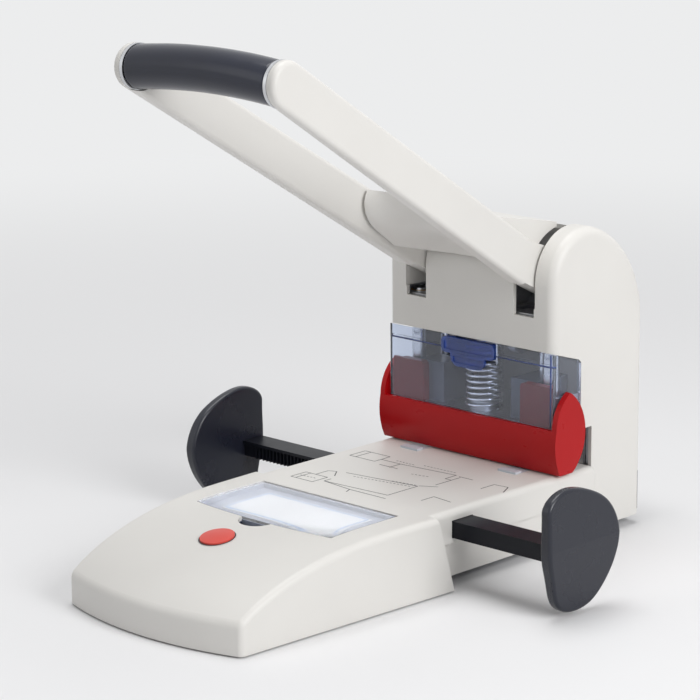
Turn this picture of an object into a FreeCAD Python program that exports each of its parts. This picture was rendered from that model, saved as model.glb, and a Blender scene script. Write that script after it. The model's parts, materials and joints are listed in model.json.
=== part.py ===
"""Heavy-duty lever hole punch, as an assembly of separate pieces.

Millimetres. The origin is on the desk, under the middle of the machine. +X is the user's right,
+Y points to the back of the machine and +Z is up. Distances called behind or before are taken
from the face of the front panel, which stands across the machine under the lever.
"""
import FreeCAD, Part
import math
import os
import re
import Sketcher
from FreeCAD import Placement, Rotation, Vector

os.makedirs("parts", exist_ok=True)
doc = FreeCAD.newDocument("hole_punch")

# Driving sizes: alias, value or formula, meaning
SIZES = (
    ("hole_pitch", 80, "distance between the two punched holes"),
    ("hole_radius", 3, "radius of a punched hole"),
    ("hole_setback", 12, "paper edge to the hole centres"),
    ("stack_height", 24.5, "clear height of the paper throat"),
    ("sheet_stop", 148.5, "middle of the machine to a side stop at rest, half an A4 length"),
    ("wall", 2.5, "wall of the moulded shells"),
    ("seat_gap", 0.3, "gap between pieces that lie on or beside each other"),
    ("side_gap", 0.4, "gap between a moulded shell and the steel inside it"),
    ("running_fit", 0.05, "radial clearance of a turning or sliding fit"),
    ("overrun", 5, "how far a cut reaches past what it cuts"),
    ("base_width", 140, "table and base"),
    ("nose_reach", 273.4, "panel face to the tip of the nose"),
    ("tower_depth", 85, "panel face to the back of the tower"),
    ("tower_width", 133.8, "outside of the cheeks"),
    ("panel_y", "=(nose_reach - tower_depth) / 2", "place of the panel face"),
    ("table_height", 46.4, "paper table above the desk"),
    ("nose_height", 19, "upright front wall of the nose"),
    ("nose_radius", 210, "roundness of the nose seen from above"),
    ("nose_slope", 105, "length of the rounded slope of the nose"),
    ("slope_span", 122, "half length of the ellipse that the slope follows"),
    ("nose_edge_radius", 6, "rounding between the slope and the upright wall"),
    ("flare_step", 13, "how much wider than the table the base is in front of the step in its sides"),
    ("flare_width", "=base_width + flare_step", "base in front of the step in its sides"),
    ("nose_taper", 14, "how much narrower the base is at the tip of the nose"),
    ("nose_width", "=flare_width - nose_taper", "base at the tip of the nose"),
    ("skirt_lift", 1, "lower edge of the base shell above the desk"),
    ("base_edge_radius", 4, "rounding of the long edges of the base shell"),
    ("table_back", 35.4, "end of the table behind the panel face"),
    ("wing_back", 39, "end of the side wings of the base shell"),
    ("wing_drop", 19.4, "lower edge of the side wings below the table"),
    ("wing_bottom", "=table_height - wing_drop", "lower edge of the side wings"),
    ("wing_back_radius", 6, "rounding at the back end of the wings"),
    ("step_before", 98, "place of the step in the side of the base, at the desk"),
    ("step_lean", 13, "how much further forward the step is at the table"),
    ("slit_width", 3.4, "dark slit behind the step"),
    ("slit_height", 15, "dark slit behind the step"),
    ("plate_lift", 6, "base plate above the desk"),
    ("plate_thickness", 2, "base plate"),
    ("plate_before", 245, "front end of the base plate"),
    ("foot_radius", 8, "rubber foot"),
    ("foot_side", 50, "feet from the middle plane"),
    ("front_foot_before", 225, "front feet"),
    ("back_foot_behind", 62, "back feet"),
    ("strip_rise", 1.5, "upper edge of the low side strips of the tower shell above the wings"),
    ("strip_top", "=wing_bottom + strip_rise", "upper edge of the low side strips of the tower shell"),
    ("throat_roof", "=table_height + stack_height", "underside of the throat plate"),
    ("throat_plate_thickness", 4, "throat plate"),
    ("throat_back", "=table_back + seat_gap", "face of the back stop"),
    ("cover_depth", 25.2, "side walls of the clear cover"),
    ("cover_wall", 2, "wall of the clear cover"),
    ("cover_rise", 74.5, "upper edge of the clear cover above the table"),
    ("cover_top", "=table_height + cover_rise", "upper edge of the clear cover"),
    ("shoulder_rise", 67.4, "upper edge of the cover where its side walls end, above the table"),
    ("cover_shoulder", "=table_height + shoulder_rise", "upper edge of the cover where its side walls end"),
    ("cover_edge_radius", 2.6, "rounding of the upright edges of the cover"),
    ("panel_gap", 0.4, "lower edge of the front panel above the clear cover"),
    ("panel_foot", "=cover_top + panel_gap", "lower edge of the front panel"),
    ("axle_behind", 30, "lever axle behind the panel face"),
    ("axle_rise", 114.6, "lever axle above the table"),
    ("axle_height", "=table_height + axle_rise", "lever axle above the desk"),
    ("axle_radius", 5, "lever axle"),
    ("cheek_rise", 32.2, "top of the cheeks above the axle"),
    ("cheek_top", "=axle_height + cheek_rise", "top of the cheeks"),
    ("cheek_front_radius", 32, "rounded front of the cheeks"),
    ("cheek_blend_angle", 19, "where the front arc of the cheeks meets the back arc, degrees past the top"),
    ("cheek_edge_radius", 6, "rounding of the outer edges of the cheeks"),
    ("cheek_gap_half", 52, "inner faces of the cheeks beside the lever"),
    ("cheek_inner_drop", 14.5, "lower edge of the inner cheek walls below the axle"),
    ("cheek_inner_foot", "=axle_height - cheek_inner_drop", "lower edge of the inner cheek walls"),
    ("slot_inner", 35.3, "inner side of the arm slots"),
    ("slot_outer", 51.2, "outer side of the arm slots"),
    ("slot_drop", 20, "lower end of the arm slots below the axle"),
    ("slot_foot", "=axle_height - slot_drop", "lower end of the arm slots"),
    ("hump_radius", "=axle_behind", "rounded top of the front panel about the axle"),
    ("press_angle", 35, "travel of the lever in degrees"),
    ("frame_thickness", 3, "steel side frames"),
    ("bush_radius", 7, "outside of the axle bushes"),
    ("frame_back", 79, "back edge of the side frames"),
    ("lug_reach", 6, "lugs of the side frames around the bail pins"),
    ("tie_rod_radius", 5, "rods that hold the frames apart"),
    ("tie_rod_behind", 71, "both rods"),
    ("upper_tie_rod_drop", 20, "upper rod below the axle"),
    ("upper_tie_rod_height", "=axle_height - upper_tie_rod_drop", "upper rod"),
    ("lower_tie_rod_rise", 15.6, "lower rod above the table"),
    ("lower_tie_rod_height", "=table_height + lower_tie_rod_rise", "lower rod"),
    ("arm_half_depth", 13.2, "half the depth of a lever arm"),
    ("arm_width", 14, "lever arm across"),
    ("arm_root_outer", 50.2, "outer face of an arm at the axle"),
    ("arm_tip_outer", 64, "outer face of an arm at the grip"),
    ("arm_tip_width", 9, "lever arm across at the grip"),
    ("grip_before", 212, "grip centre before the panel face"),
    ("grip_rise", 142, "grip centre above the axle"),
    ("grip_height", "=axle_height + grip_rise", "grip centre above the desk"),
    ("grip_half_length", 55, "half the soft grip"),
    ("grip_bow", 3, "rise of the grip in its middle"),
    ("grip_core_radius", 10, "cross bar inside the grip"),
    ("grip_ring_width", 2.6, "ring at each end of the grip"),
    ("arm_knee_before", 36, "place where the arms meet the web"),
    ("arm_knee_rise", 33.5, "knee above the axle, on the centre line of the arm"),
    ("arm_knee_height", "=axle_height + arm_knee_rise", "height of the knee"),
    ("arm_shoulder", 38, "straight top of an arm behind the knee"),
    ("lever_hub_radius", 16, "arm around the axle"),
    ("arm_edge_radius", 3, "rounding of the edges of the arms"),
    ("web_gap", 1.8, "web of the lever to the rounded panel top"),
    ("web_reach", 80, "measure of the web before and above the axle"),
    ("hood_half_width", 47.5, "hood of the lever over the rounded panel top"),
    ("yoke_tube_radius", 10, "tube of the drive yoke"),
    ("yoke_arm_root", 9, "half the root of a drive arm"),
    ("drive_arm_length", 42, "axle to drive rollers"),
    ("drive_start_angle", 15, "drive arms at rest, degrees before straight down"),
    ("drive_arm_inner", 15.5, "inner face of a drive arm"),
    ("drive_arm_thickness", 5.5, "drive arm across"),
    ("drive_arm_tip_radius", 5.5, "drive arm around its pin"),
    ("drive_pin_radius", 2.5, "pin of a drive roller"),
    ("roller_radius", 4, "drive roller"),
    ("cam_plate_thickness", 5.5, "cam plates of the carriage"),
    ("cam_slot_clearance", 0.35, "roller to the sides of its slot"),
    ("cam_wall", 3.6, "steel around the cam slot"),
    ("stroke", 27, "travel of the carriage and the punch pins"),
    ("carriage_drop", 33, "underside of the carriage below the axle, at rest"),
    ("carriage_foot", "=axle_height - carriage_drop", "underside of the carriage at rest"),
    ("carriage_height", 14, "carriage brackets"),
    ("carriage_bar_front", 53, "front of the carriage bar"),
    ("carriage_bar_depth", 7, "carriage bar"),
    ("carriage_front", 4, "front of the carriage strip"),
    ("bracket_inner", 33, "inner side of the carriage brackets"),
    ("bracket_front", 8, "front of the carriage brackets"),
    ("pin_head_radius", 5, "head of a punch pin"),
    ("pin_head_height", 3, "head of a punch pin"),
    ("pin_retreat", 1.6, "tip of a resting punch pin above the throat roof"),
    ("column_side", 53, "guide columns from the middle plane"),
    ("column_behind", 14, "guide columns"),
    ("column_radius", 4.5, "guide columns"),
    ("column_drop", 17.5, "upper end of the guide columns below the axle"),
    ("column_top", "=axle_height - column_drop", "upper end of the guide columns"),
    ("bush_wall", 1.5, "carriage bush"),
    ("guide_block_height", 25, "guide block of a punch pin"),
    ("guide_block_inner", 27.2, "inner side of a guide block"),
    ("guide_block_outer", 47.4, "outer side of a guide block"),
    ("guide_block_front", 8.2, "front of a guide block"),
    ("release_inner", 39.3, "inner side of a pin release"),
    ("release_outer", 64.2, "outer side of a pin release"),
    ("release_front", 2.5, "front of a pin release"),
    ("release_tab", 2.2, "thin outer end of a pin release, in front of the side frame"),
    ("release_corner", 3, "rounded top corners of a pin release"),
    ("spring_behind", 15, "return spring"),
    ("spring_radius", 11, "return spring, to the middle of its wire"),
    ("spring_wire_radius", 0.85, "wire of the return spring"),
    ("spring_turns", 14, "turns of the return spring"),
    ("spigot_radius", 9, "spigots that centre the return spring"),
    ("spigot_height", 6, "spigots"),
    ("die_bed_drop", 13.4, "underside of the die bed below the table"),
    ("die_bed_foot", "=table_height - die_bed_drop", "underside of the die bed"),
    ("die_bed_cover", 2.8, "top of the die bed below the table"),
    ("die_bed_top", "=table_height - die_bed_cover", "top of the die bed"),
    ("die_bed_back", 60, "back of the die bed"),
    ("die_radius", 5.8, "cutting die"),
    ("die_height", 8.3, "cutting die"),
    ("chute_radius", 5, "hole for the paper chips"),
    ("carrier_half_width", 7, "tongue that holds a die"),
    ("carrier_before", 11, "front end of a tongue"),
    ("tongue_lip", 1.2, "raised front of a tongue above the table"),
    ("back_stop_thickness", 2.2, "steel back stop"),
    ("bail_clearance", 1, "lower edge of the guard bail above the table"),
    ("bail_bottom", "=table_height + bail_clearance", "lower edge of the guard bail"),
    ("bail_bar_height", 27.6, "bar of the guard bail"),
    ("bail_top", "=bail_bottom + bail_bar_height", "upper edge of its bar"),
    ("bail_thickness", 3, "bar of the guard bail"),
    ("bail_width", 143.4, "outside of its ears"),
    ("bail_ear_thickness", 3.7, "ears of the guard bail"),
    ("bail_pivot_behind", 11, "pivot of the guard bail"),
    ("bail_pivot_rise", 40.6, "its pivot above the table"),
    ("bail_pivot_height", "=table_height + bail_pivot_rise", "height of that pivot"),
    ("bail_pin_radius", 2, "pivot pins of the guard bail"),
    ("bail_pin_cover", 1.3, "ear of the bail left standing over the end of its pin"),
    ("bail_tuck", 3.6, "lower edge of the bail behind its upper edge"),
    ("bail_ear_rise", 10, "top of the bail's ears above the pivot"),
    ("latch_half_width", 21.5, "blue latch"),
    ("latch_drop", 10.9, "lower edge of its body below the top of the cover"),
    ("latch_foot", "=cover_top - latch_drop", "lower edge of its body"),
    ("latch_lip_drop", 7.5, "lower edge of its thumb lip below its body"),
    ("latch_lip_foot", "=latch_foot - latch_lip_drop", "lower edge of its thumb lip"),
    ("latch_lip_half_width", 14, "thumb lip"),
    ("latch_proud", 1.6, "latch before the panel face"),
    ("latch_rim", 2.2, "raised rim of the latch"),
    ("latch_corner", 3.2, "rounded corners of the latch"),
    ("latch_travel", 2, "travel of the latch"),
    ("tooth_module", 1, "rack and pinion of the side stops"),
    ("pinion_teeth", 28, "teeth of the pinion"),
    ("pinion_before", 62.5, "axis of the pinion"),
    ("rail_drop", 16.4, "underside of the rails below the table"),
    ("rail_bottom", "=table_height - rail_drop", "underside of the rails"),
    ("rail_height", 10, "rails"),
    ("rail_depth", 16.5, "rail from its pitch line to its back"),
    ("rail_inner_end", 11, "inner end of a rail past the middle plane at rest"),
    ("pinion_pin_radius", 3, "pin of the pinion"),
    ("rail_guide_wall", 3, "walls of the rail guide"),
    ("rail_flange", 2, "smooth top of a rail over its teeth"),
    ("stop_thickness", 6, "side stop at its upper and lower ends"),
    ("stop_ridge", 2, "ridge across the outer face of a side stop"),
    ("stop_ridge_rise", 11.5, "ridge of a side stop above the underside of its rail"),
    ("stop_ridge_height", "=rail_bottom + stop_ridge_rise", "height of the ridge"),
    ("stop_radius", 35, "side stop"),
    ("stop_centre_rise", 8, "centre of a side stop above the underside of its rail"),
    ("stop_centre_height", "=rail_bottom + stop_centre_rise", "side stop"),
    ("right_stop_shift", 2.75, "right stop, its centre behind its rail"),
    ("left_stop_shift", 16.25, "left stop, its centre before its rail"),
    ("stop_edge_radius", 2, "rounding of the side stops"),
    ("lid_front", 176.5, "front corners of the clear lid"),
    ("lid_back", 122, "back of the clear lid"),
    ("lid_half_width", 54.5, "clear lid"),
    ("lid_bulge", 5, "rounded front of the lid"),
    ("lid_thickness", 2, "clear lid"),
    ("well_radius", 12, "half-moon finger well in front of the lid"),
    ("well_length", 9.5, "finger well before the lid"),
    ("well_drop", 6.9, "underside of the finger well below the table"),
    ("well_foot", "=table_height - well_drop", "underside of the finger well"),
    ("well_wall", 1.2, "wall of the finger well"),
    ("lid_pin_radius", 0.6, "hinge pins of the lid"),
    ("lid_pin_length", 1.5, "hinge pins of the lid"),
    ("tray_height", 4, "label tray under the lid"),
    ("tray_floor", 1.6, "floor of the label tray"),
    ("tray_wall", 1.5, "rim of the label tray"),
    ("card_half_width", 42, "label card"),
    ("card_depth", 38, "label card"),
    ("card_thickness", 0.4, "label card"),
    ("button_before", 212, "red button"),
    ("button_radius", 10, "red button"),
    ("button_proud", 1, "red button above the slope"),
    ("button_travel", 3, "red button"),
    ("button_flange", 1.6, "flange of the red button"),
    ("button_dome", 0.8, "rise of its rounded top"),
    ("socket_depth", 15, "socket of the red button"),
    ("button_spring_radius", 6, "spring under the red button"),
    ("button_spring_wire", 0.5, "its wire"),
    ("button_spring_turns", 5, "its turns"),
    ("chip_tray_half_width", 52, "chip tray"),
    ("chip_tray_before", 20, "front of the chip tray"),
    ("chip_tray_gap", 2, "rim of the chip tray below the die bed"),
    ("chip_tray_top", "=die_bed_foot - chip_tray_gap", "rim of the chip tray"),
    ("chip_tray_wall", 2, "walls of the chip tray"),
    ("chip_door_rise", 1.6, "door of the chip tray at the back above its rim"),
    ("chip_door_top", "=chip_tray_top + chip_door_rise", "door of the chip tray at the back"),
    ("finger_hole_radius", 9, "finger hole in the chip tray door"),
    ("boss_side", 34, "screw bosses from the middle plane"),
    ("boss_radius", 4, "screw bosses and legs of the rail guide"),
    ("guide_leg_reach", 24, "legs of the rail guide before and behind the pinion"),
    ("cover_screw_side", 48.3, "screws of the rear cover from the middle plane"),
    ("screw_head_radius", 3.2, "screw heads"),
    ("screw_head_height", 1.4, "screw heads"),
    ("screw_radius", 1.6, "screws"),
    ("screw_length", 4, "screws"),
)

sheet = doc.addObject("Spreadsheet::Sheet", "sizes")
for row, (alias, value, meaning) in enumerate(SIZES, start=1):
    sheet.set(f"A{row}", meaning)
    sheet.set(f"B{row}", str(value))
    sheet.setAlias(f"B{row}", alias)
doc.recompute()

ALIASES = {alias for alias, _, _ in SIZES}


class Sizes:
    """Reads the sheet by name, as numbers."""

    def __getattr__(self, alias):
        return float(getattr(sheet, alias))


s = Sizes()
SIDES = (("left", -1), ("right", 1))
PIECES = []


def linked(text):
    """Write an expression so that each size in it is read from the sheet."""
    return re.sub(r"[a-z][a-z0-9_]*", lambda m: f"sizes.{m[0]}" if m[0] in ALIASES else m[0], text)


def bind(thing, prop, text):
    """Tie a property of an object to an expression in the driving sizes."""
    thing.setExpression(prop, linked(text))


def number(text):
    """The present value of an expression in the driving sizes."""
    return float(sheet.evalExpression(linked(text)))


def keep(piece, name):
    """Mark an object as a finished piece and name it."""
    piece.Label = name
    PIECES.append(piece)
    return piece


def feature(name, shape):
    """A piece whose form is worked out from the sizes."""
    piece = doc.addObject("Part::Feature", name)
    place = shape.Placement
    piece.Shape = shape
    piece.Placement = place
    return keep(piece, name)


def block(x, y, z):
    """A box between pairs of expressions; y counts from the panel face."""
    box = doc.addObject("Part::Box", "block")
    spans = (("Length", "x", x), ("Width", "y", y), ("Height", "z", z))
    for prop, axis, (low, high) in spans:
        bind(box, prop, f"({high}) - ({low})")
        start = f"panel_y + {low}" if axis == "y" else low
        bind(box, f"Placement.Base.{axis}", start)
    return box


TURNS = {"x": Rotation(Vector(0, 1, 0), 90), "y": Rotation(Vector(1, 0, 0), -90), "z": Rotation()}


def rod(axis, radius, low, high, **place):
    """A cylinder along an axis between two expressions; y counts from the panel face."""
    cylinder = doc.addObject("Part::Cylinder", "rod")
    cylinder.Placement = Placement(Vector(), TURNS[axis])
    bind(cylinder, "Radius", radius)
    bind(cylinder, "Height", f"({high}) - ({low})")
    for name, text in {**place, axis: low}.items():
        start = f"panel_y + {text}" if name == "y" else text
        bind(cylinder, f"Placement.Base.{name}", start)
    return cylinder


def fuse(*shapes):
    """Several primitives joined into one."""
    joined = doc.addObject("Part::MultiFuse", "fuse")
    joined.Shapes = list(shapes)
    return joined


def cut(base, *tools):
    """One primitive less the others."""
    result = doc.addObject("Part::Cut", "cut")
    result.Base = base
    result.Tool = tools[0] if len(tools) == 1 else fuse(*tools)
    return result


def group(*shapes):
    """Separate solids of one kind that share a node."""
    together = doc.addObject("Part::Compound", "group")
    together.Links = list(shapes)
    return together


def plate(name, low, thickness, outline, holes=()):
    """A flat plate across X: an outline of (behind, height) expressions, padded and drilled."""
    body = doc.addObject("PartDesign::Body", name)
    side = next(plane for plane in body.Origin.OriginFeatures if plane.Role == "YZ_Plane")
    sketch = body.newObject("Sketcher::SketchObject", name + "_outline")
    sketch.AttachmentSupport = [(side, "")]
    sketch.MapMode = "FlatFace"
    bind(sketch, "AttachmentOffset.Base.z", low)
    corners = [(f"panel_y + {behind}", height) for behind, height in outline]
    places = [Vector(number(across), number(up), 0) for across, up in corners]
    count = len(corners)
    for index in range(count):
        sketch.addGeometry(Part.LineSegment(places[index], places[(index + 1) % count]), False)
    for index in range(count):
        following = (index + 1) % count
        sketch.addConstraint(Sketcher.Constraint("Coincident", index, 2, following, 1))
    for index, (across, up) in enumerate(corners):
        pin_point(sketch, index, 1, across, up, places[index])
    for across, up, radius in holes:
        centre = Vector(number(f"panel_y + {across}"), number(up), 0)
        circle = Part.Circle(centre, Vector(0, 0, 1), number(radius))
        index = sketch.addGeometry(circle, False)
        rule = sketch.addConstraint(Sketcher.Constraint("Radius", index, number(radius)))
        bind(sketch, f"Constraints[{rule}]", radius)
        pin_point(sketch, index, 3, f"panel_y + {across}", up, centre)
    pad = body.newObject("PartDesign::Pad", name + "_pad")
    pad.Profile = sketch
    bind(pad, "Length", thickness)
    return keep(body, name)


def pin_point(sketch, index, end, across, up, place):
    """Hold one point of a sketch at a pair of expressions."""
    for kind, text, value in (("DistanceX", across, place.x), ("DistanceY", up, place.y)):
        rule = sketch.addConstraint(Sketcher.Constraint(kind, -1, 1, index, end, value))
        bind(sketch, f"Constraints[{rule}]", text)


def at(behind, height, side=0.0):
    """A point given behind the panel face."""
    return Vector(side, s.panel_y + behind, height)


def box_between(x, y, z):
    """A plain box shape between pairs of numbers; y counts from the panel face."""
    corner = Vector(x[0], s.panel_y + y[0], z[0])
    return Part.makeBox(x[1] - x[0], y[1] - y[0], z[1] - z[0], corner)


def drum(radius, x, behind, height):
    """A plain cylinder shape along X."""
    return Part.makeCylinder(radius, x[1] - x[0], at(behind, height, x[0]), Vector(1, 0, 0))


def post(radius, side, behind, low, high):
    """A plain upright cylinder shape."""
    return Part.makeCylinder(radius, high - low, at(behind, low, side))


def polygon(points):
    """A closed wire through points."""
    return Part.makePolygon(list(points) + [points[0]])


def slab(wire, x):
    """A flat outline across X, drawn at x = 0 and thickened from x[0] to x[1]."""
    face = Part.Face(wire)
    face.translate(Vector(x[0], 0, 0))
    return face.extrude(Vector(x[1] - x[0], 0, 0))


def mirrored(shape):
    """The same shape on the other side of the middle plane."""
    return shape.mirror(Vector(), Vector(1, 0, 0))


def both(shape):
    """A shape together with its mirror image."""
    return [shape, mirrored(shape)]


def round_edges(shape, radius, chosen):
    """Round the edges that a test picks."""
    edges = [edge for edge in shape.Edges if chosen(edge)]
    return shape.makeFillet(radius, edges)


TABLE_HALF = s.base_width / 2
TOWER_HALF = s.tower_width / 2
SHELL_HALF = TOWER_HALF - s.wall
FRAME_OUTER = SHELL_HALF - s.side_gap
FRAME_INNER = FRAME_OUTER - s.frame_thickness
PIN_SIDE = s.hole_pitch / 2
PIN_BEHIND = s.throat_back - s.hole_setback
THROAT_TOP = s.throat_roof + s.throat_plate_thickness
AXLE = at(s.axle_behind, s.axle_height)

# The same places as expressions
SHELL_HALF_TEXT = "(tower_width / 2 - wall)"
FRAME_OUTER_TEXT = f"({SHELL_HALF_TEXT} - side_gap)"
FRAME_INNER_TEXT = f"({FRAME_OUTER_TEXT} - frame_thickness)"
BETWEEN_FRAMES_TEXT = f"({FRAME_INNER_TEXT} - seat_gap)"
PLATE_TOP_TEXT = "(plate_lift + plate_thickness)"
THROAT_TOP_TEXT = "(throat_roof + throat_plate_thickness)"
PIN_BEHIND_TEXT = "(throat_back - hole_setback)"
PIN_SIDE_TEXT = "hole_pitch / 2"


def rail_places():
    """Behind-values of the pitch line and the back of each rail, with its side."""
    pitch_radius = s.tooth_module * s.pinion_teeth / 2
    places = {}
    for name, side in SIDES:
        pitch = -s.pinion_before - side * pitch_radius
        places[name] = (pitch, pitch - side * s.rail_depth)
    return places


def slope_depth():
    """Half height of the ellipse that the slope of the nose follows."""
    share = s.nose_slope / s.slope_span
    return (s.table_height - s.nose_height) / (1 - math.sqrt(1 - share ** 2))


def step_at(height):
    """Behind-value of the leaning step in the sides of the base at some height."""
    return -s.step_before - s.step_lean * height / s.table_height


def flare_half(behind):
    """Half width of the nose, which widens towards the step."""
    share = (s.nose_reach + behind) / (s.nose_reach - s.step_before)
    return (s.nose_width + (s.flare_width - s.nose_width) * share) / 2


def nose_form(inset):
    """The nose up to the step, rounded in front and sloping, or its hollow at a wall's depth."""
    floor = s.skirt_lift if inset == 0 else -s.overrun
    top = s.table_height - inset
    rim = s.nose_radius - inset
    start = s.nose_radius - s.nose_slope
    depth = slope_depth()
    centre = Vector(start, 0, s.table_height - depth)
    long_half = s.slope_span - inset
    short_half = depth - inset
    ellipse = Part.Ellipse(
        centre + Vector(long_half, 0, 0), centre + Vector(0, 0, short_half), centre
    )
    turn = math.acos((rim - start) / long_half)
    brow = Part.ArcOfEllipse(ellipse, turn, math.pi / 2).toShape()
    crease = centre.z + short_half * math.sin(turn)
    line = Part.LineSegment
    edges = [
        line(Vector(0, 0, floor), Vector(rim, 0, floor)).toShape(),
        line(Vector(rim, 0, floor), Vector(rim, 0, crease)).toShape(),
        brow,
        line(Vector(start, 0, top), Vector(0, 0, top)).toShape(),
        line(Vector(0, 0, top), Vector(0, 0, floor)).toShape(),
    ]
    dish = Part.Face(Part.Wire(edges)).revolve(Vector(), Vector(0, 0, 1), 360)

    def rim_edge(edge):
        box = edge.BoundBox
        return box.ZLength < s.seat_gap and abs(box.ZMin - crease) < s.seat_gap

    if inset == 0:
        dish = round_edges(dish, s.nose_edge_radius, rim_edge)
    dish.translate(at(s.nose_radius - s.nose_reach, 0))
    tip = -s.nose_reach - s.overrun
    plan = polygon([
        at(tip, 0, flare_half(tip) - inset),
        at(-s.step_before, 0, flare_half(-s.step_before) - inset),
        at(-s.step_before, 0, inset - flare_half(-s.step_before)),
        at(tip, 0, inset - flare_half(tip)),
    ])
    side = polygon([
        at(tip, floor),
        at(step_at(floor) - inset, floor),
        at(step_at(top) - inset, top),
        at(tip, top),
    ])
    sides = raised(plan, floor, top).common(slab(side, (-s.flare_width, s.flare_width)))
    return dish.common(sides)


def table_form(inset):
    """The table behind the step, or its hollow at a wall's depth."""
    floor = s.skirt_lift if inset == 0 else -s.overrun
    half = TABLE_HALF - inset
    back = s.wing_back if inset == 0 else s.wing_back + s.overrun
    front = step_at(s.table_height) - s.overrun
    return box_between((-half, half), (front, back), (floor, s.table_height - inset))


def base_form(inset):
    """Sharp-edged form of the base, or its hollow at a wall's depth."""
    return nose_form(inset).fuse(table_form(inset)).removeSplitter()


def lid_outline(grow):
    """Outline of the clear lid seen from above, grown all round."""
    half = s.lid_half_width + grow
    front = -s.lid_front - grow
    back = -s.lid_back + grow
    corners = [at(back, 0, -half), at(back, 0, half), at(front, 0, half), at(front, 0, -half)]
    bulge = Part.Arc(corners[2], at(front - s.lid_bulge, 0), corners[3]).toShape()
    return Part.Wire([
        Part.makeLine(corners[3], corners[0]),
        Part.makeLine(corners[0], corners[1]),
        Part.makeLine(corners[1], corners[2]),
        bulge,
    ])


def raised(wire, low, high):
    """A flat outline seen from above, thickened between two heights."""
    face = Part.Face(wire)
    face.translate(Vector(0, 0, low))
    return face.extrude(Vector(0, 0, high - low))


def button_place():
    """Place and tilt of the button on the rounded slope, and its surface point."""
    depth = slope_depth()
    share = (s.nose_slope - s.nose_reach + s.button_before) / s.slope_span
    rise = math.sqrt(1 - share ** 2)
    height = s.table_height - depth * (1 - rise)
    tilt = math.atan(depth * share / (s.slope_span * rise))
    turn = Rotation(Vector(1, 0, 0), math.degrees(tilt))
    return Placement(at(-s.button_before, height), turn)


def on_slope(shape):
    """Move a shape built about +Z at the origin to the button's place."""
    moved = shape.copy()
    moved.Placement = button_place()
    return moved


def make_base_shell():
    """Table, nose and side wings in one hollow moulding, open below."""
    back_y = s.panel_y + s.wing_back
    step_y = s.panel_y + step_at(s.table_height)
    floor = s.skirt_lift + s.seat_gap

    def back_edge(edge):
        box = edge.BoundBox
        return box.YMin > back_y - s.seat_gap and box.ZMin > s.table_height - s.seat_gap

    def long_edge(edge):
        box = edge.BoundBox
        outer_side = min(abs(box.XMin), abs(box.XMax)) > TABLE_HALF - s.seat_gap
        lengthwise = box.YLength > s.wing_back_radius + s.seat_gap
        return outer_side and lengthwise and box.ZMax > floor

    def flared_edge(edge):
        box = edge.BoundBox
        ends = [vertex.Point for vertex in edge.Vertexes]
        on_side = all(abs(abs(end.x) - flare_half(end.y - s.panel_y)) < s.seat_gap for end in ends)
        return on_side and box.YMin < step_y - s.seat_gap and box.ZMax > floor

    table = round_edges(table_form(0), s.wing_back_radius, back_edge)
    table = round_edges(table, s.base_edge_radius, long_edge)
    nose = round_edges(nose_form(0), s.base_edge_radius, flared_edge)
    shell = nose.fuse(table).cut(base_form(s.wall))
    reach = s.flare_width / 2 + s.overrun
    far = s.wing_back + s.overrun
    below_wings = slab(polygon([
        at(step_at(-s.overrun), -s.overrun),
        at(step_at(s.wing_bottom), s.wing_bottom),
        at(far, s.wing_bottom),
        at(far, -s.overrun),
    ]), (-reach, reach))
    inner_half = TABLE_HALF - s.wall
    past_table = box_between(
        (-inner_half, inner_half), (s.table_back, far), (s.wing_bottom, s.table_height + s.overrun)
    )
    shell = shell.cut(below_wings).cut(past_table)
    step = step_at(s.wing_bottom)
    step_wall = box_between(
        (-inner_half, inner_half),
        (step - s.wall, step),
        (s.plate_lift + s.plate_thickness + s.seat_gap, s.wing_bottom),
    )
    shell = shell.fuse(step_wall)
    slit_low = s.wing_bottom + s.seat_gap
    slit_high = slit_low + s.slit_height
    slit = polygon([
        at(step_at(slit_low) + s.seat_gap, slit_low),
        at(step_at(slit_low) + s.seat_gap + s.slit_width, slit_low),
        at(step_at(slit_high) + s.seat_gap + s.slit_width, slit_high),
        at(step_at(slit_high) + s.seat_gap, slit_high),
    ])
    for cutter in both(slab(slit, (inner_half - s.wall, reach))):
        shell = shell.cut(cutter)
    boss_foot = s.plate_lift + s.plate_thickness + s.seat_gap
    for _, side in SIDES:
        place = (side * s.boss_side, -s.front_foot_before + 2 * s.foot_radius)
        boss = post(s.boss_radius, *place, boss_foot, s.table_height)
        shell = shell.fuse(boss.common(base_form(s.wall / 2)))
        shell = shell.cut(post(s.screw_radius, *place, boss_foot - s.overrun, boss_foot + s.screw_length))
    above = s.table_height + s.overrun
    under = s.table_height - s.wall - s.overrun
    for _, side in SIDES:
        middle = side * PIN_SIDE
        half = s.carrier_half_width + s.seat_gap
        slot = box_between(
            (middle - half, middle + half),
            (-s.carrier_before - s.seat_gap, far),
            (under, above),
        )
        shell = shell.cut(slot)
    shell = shell.cut(raised(lid_outline(s.seat_gap), under, above))
    pin_half = s.lid_half_width + s.lid_pin_length + s.seat_gap
    shell = shell.cut(drum(s.lid_pin_radius + s.running_fit, (-pin_half, pin_half),
                           -s.lid_back - s.lid_thickness / 2, s.table_height - s.lid_thickness / 2))
    shell = shell.cut(well_form(0, s.well_foot, above, s.well_radius))
    depth = s.socket_depth
    bore = Part.makeCylinder(s.button_radius + s.seat_gap, 2 * depth, Vector(0, 0, -depth))
    shell = shell.cut(on_slope(bore))
    for name, side in SIDES:
        pitch, rail_back = rail_places()[name]
        low, high = sorted((pitch + side * s.tooth_module, rail_back))
        window = box_between(
            sorted((side * (inner_half - s.overrun), side * reach)),
            (low - s.seat_gap, high + s.seat_gap),
            (s.rail_bottom - s.seat_gap, s.rail_bottom + s.rail_height + s.seat_gap),
        )
        shell = shell.cut(window)
    return feature("base_shell", shell.removeSplitter())


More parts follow.
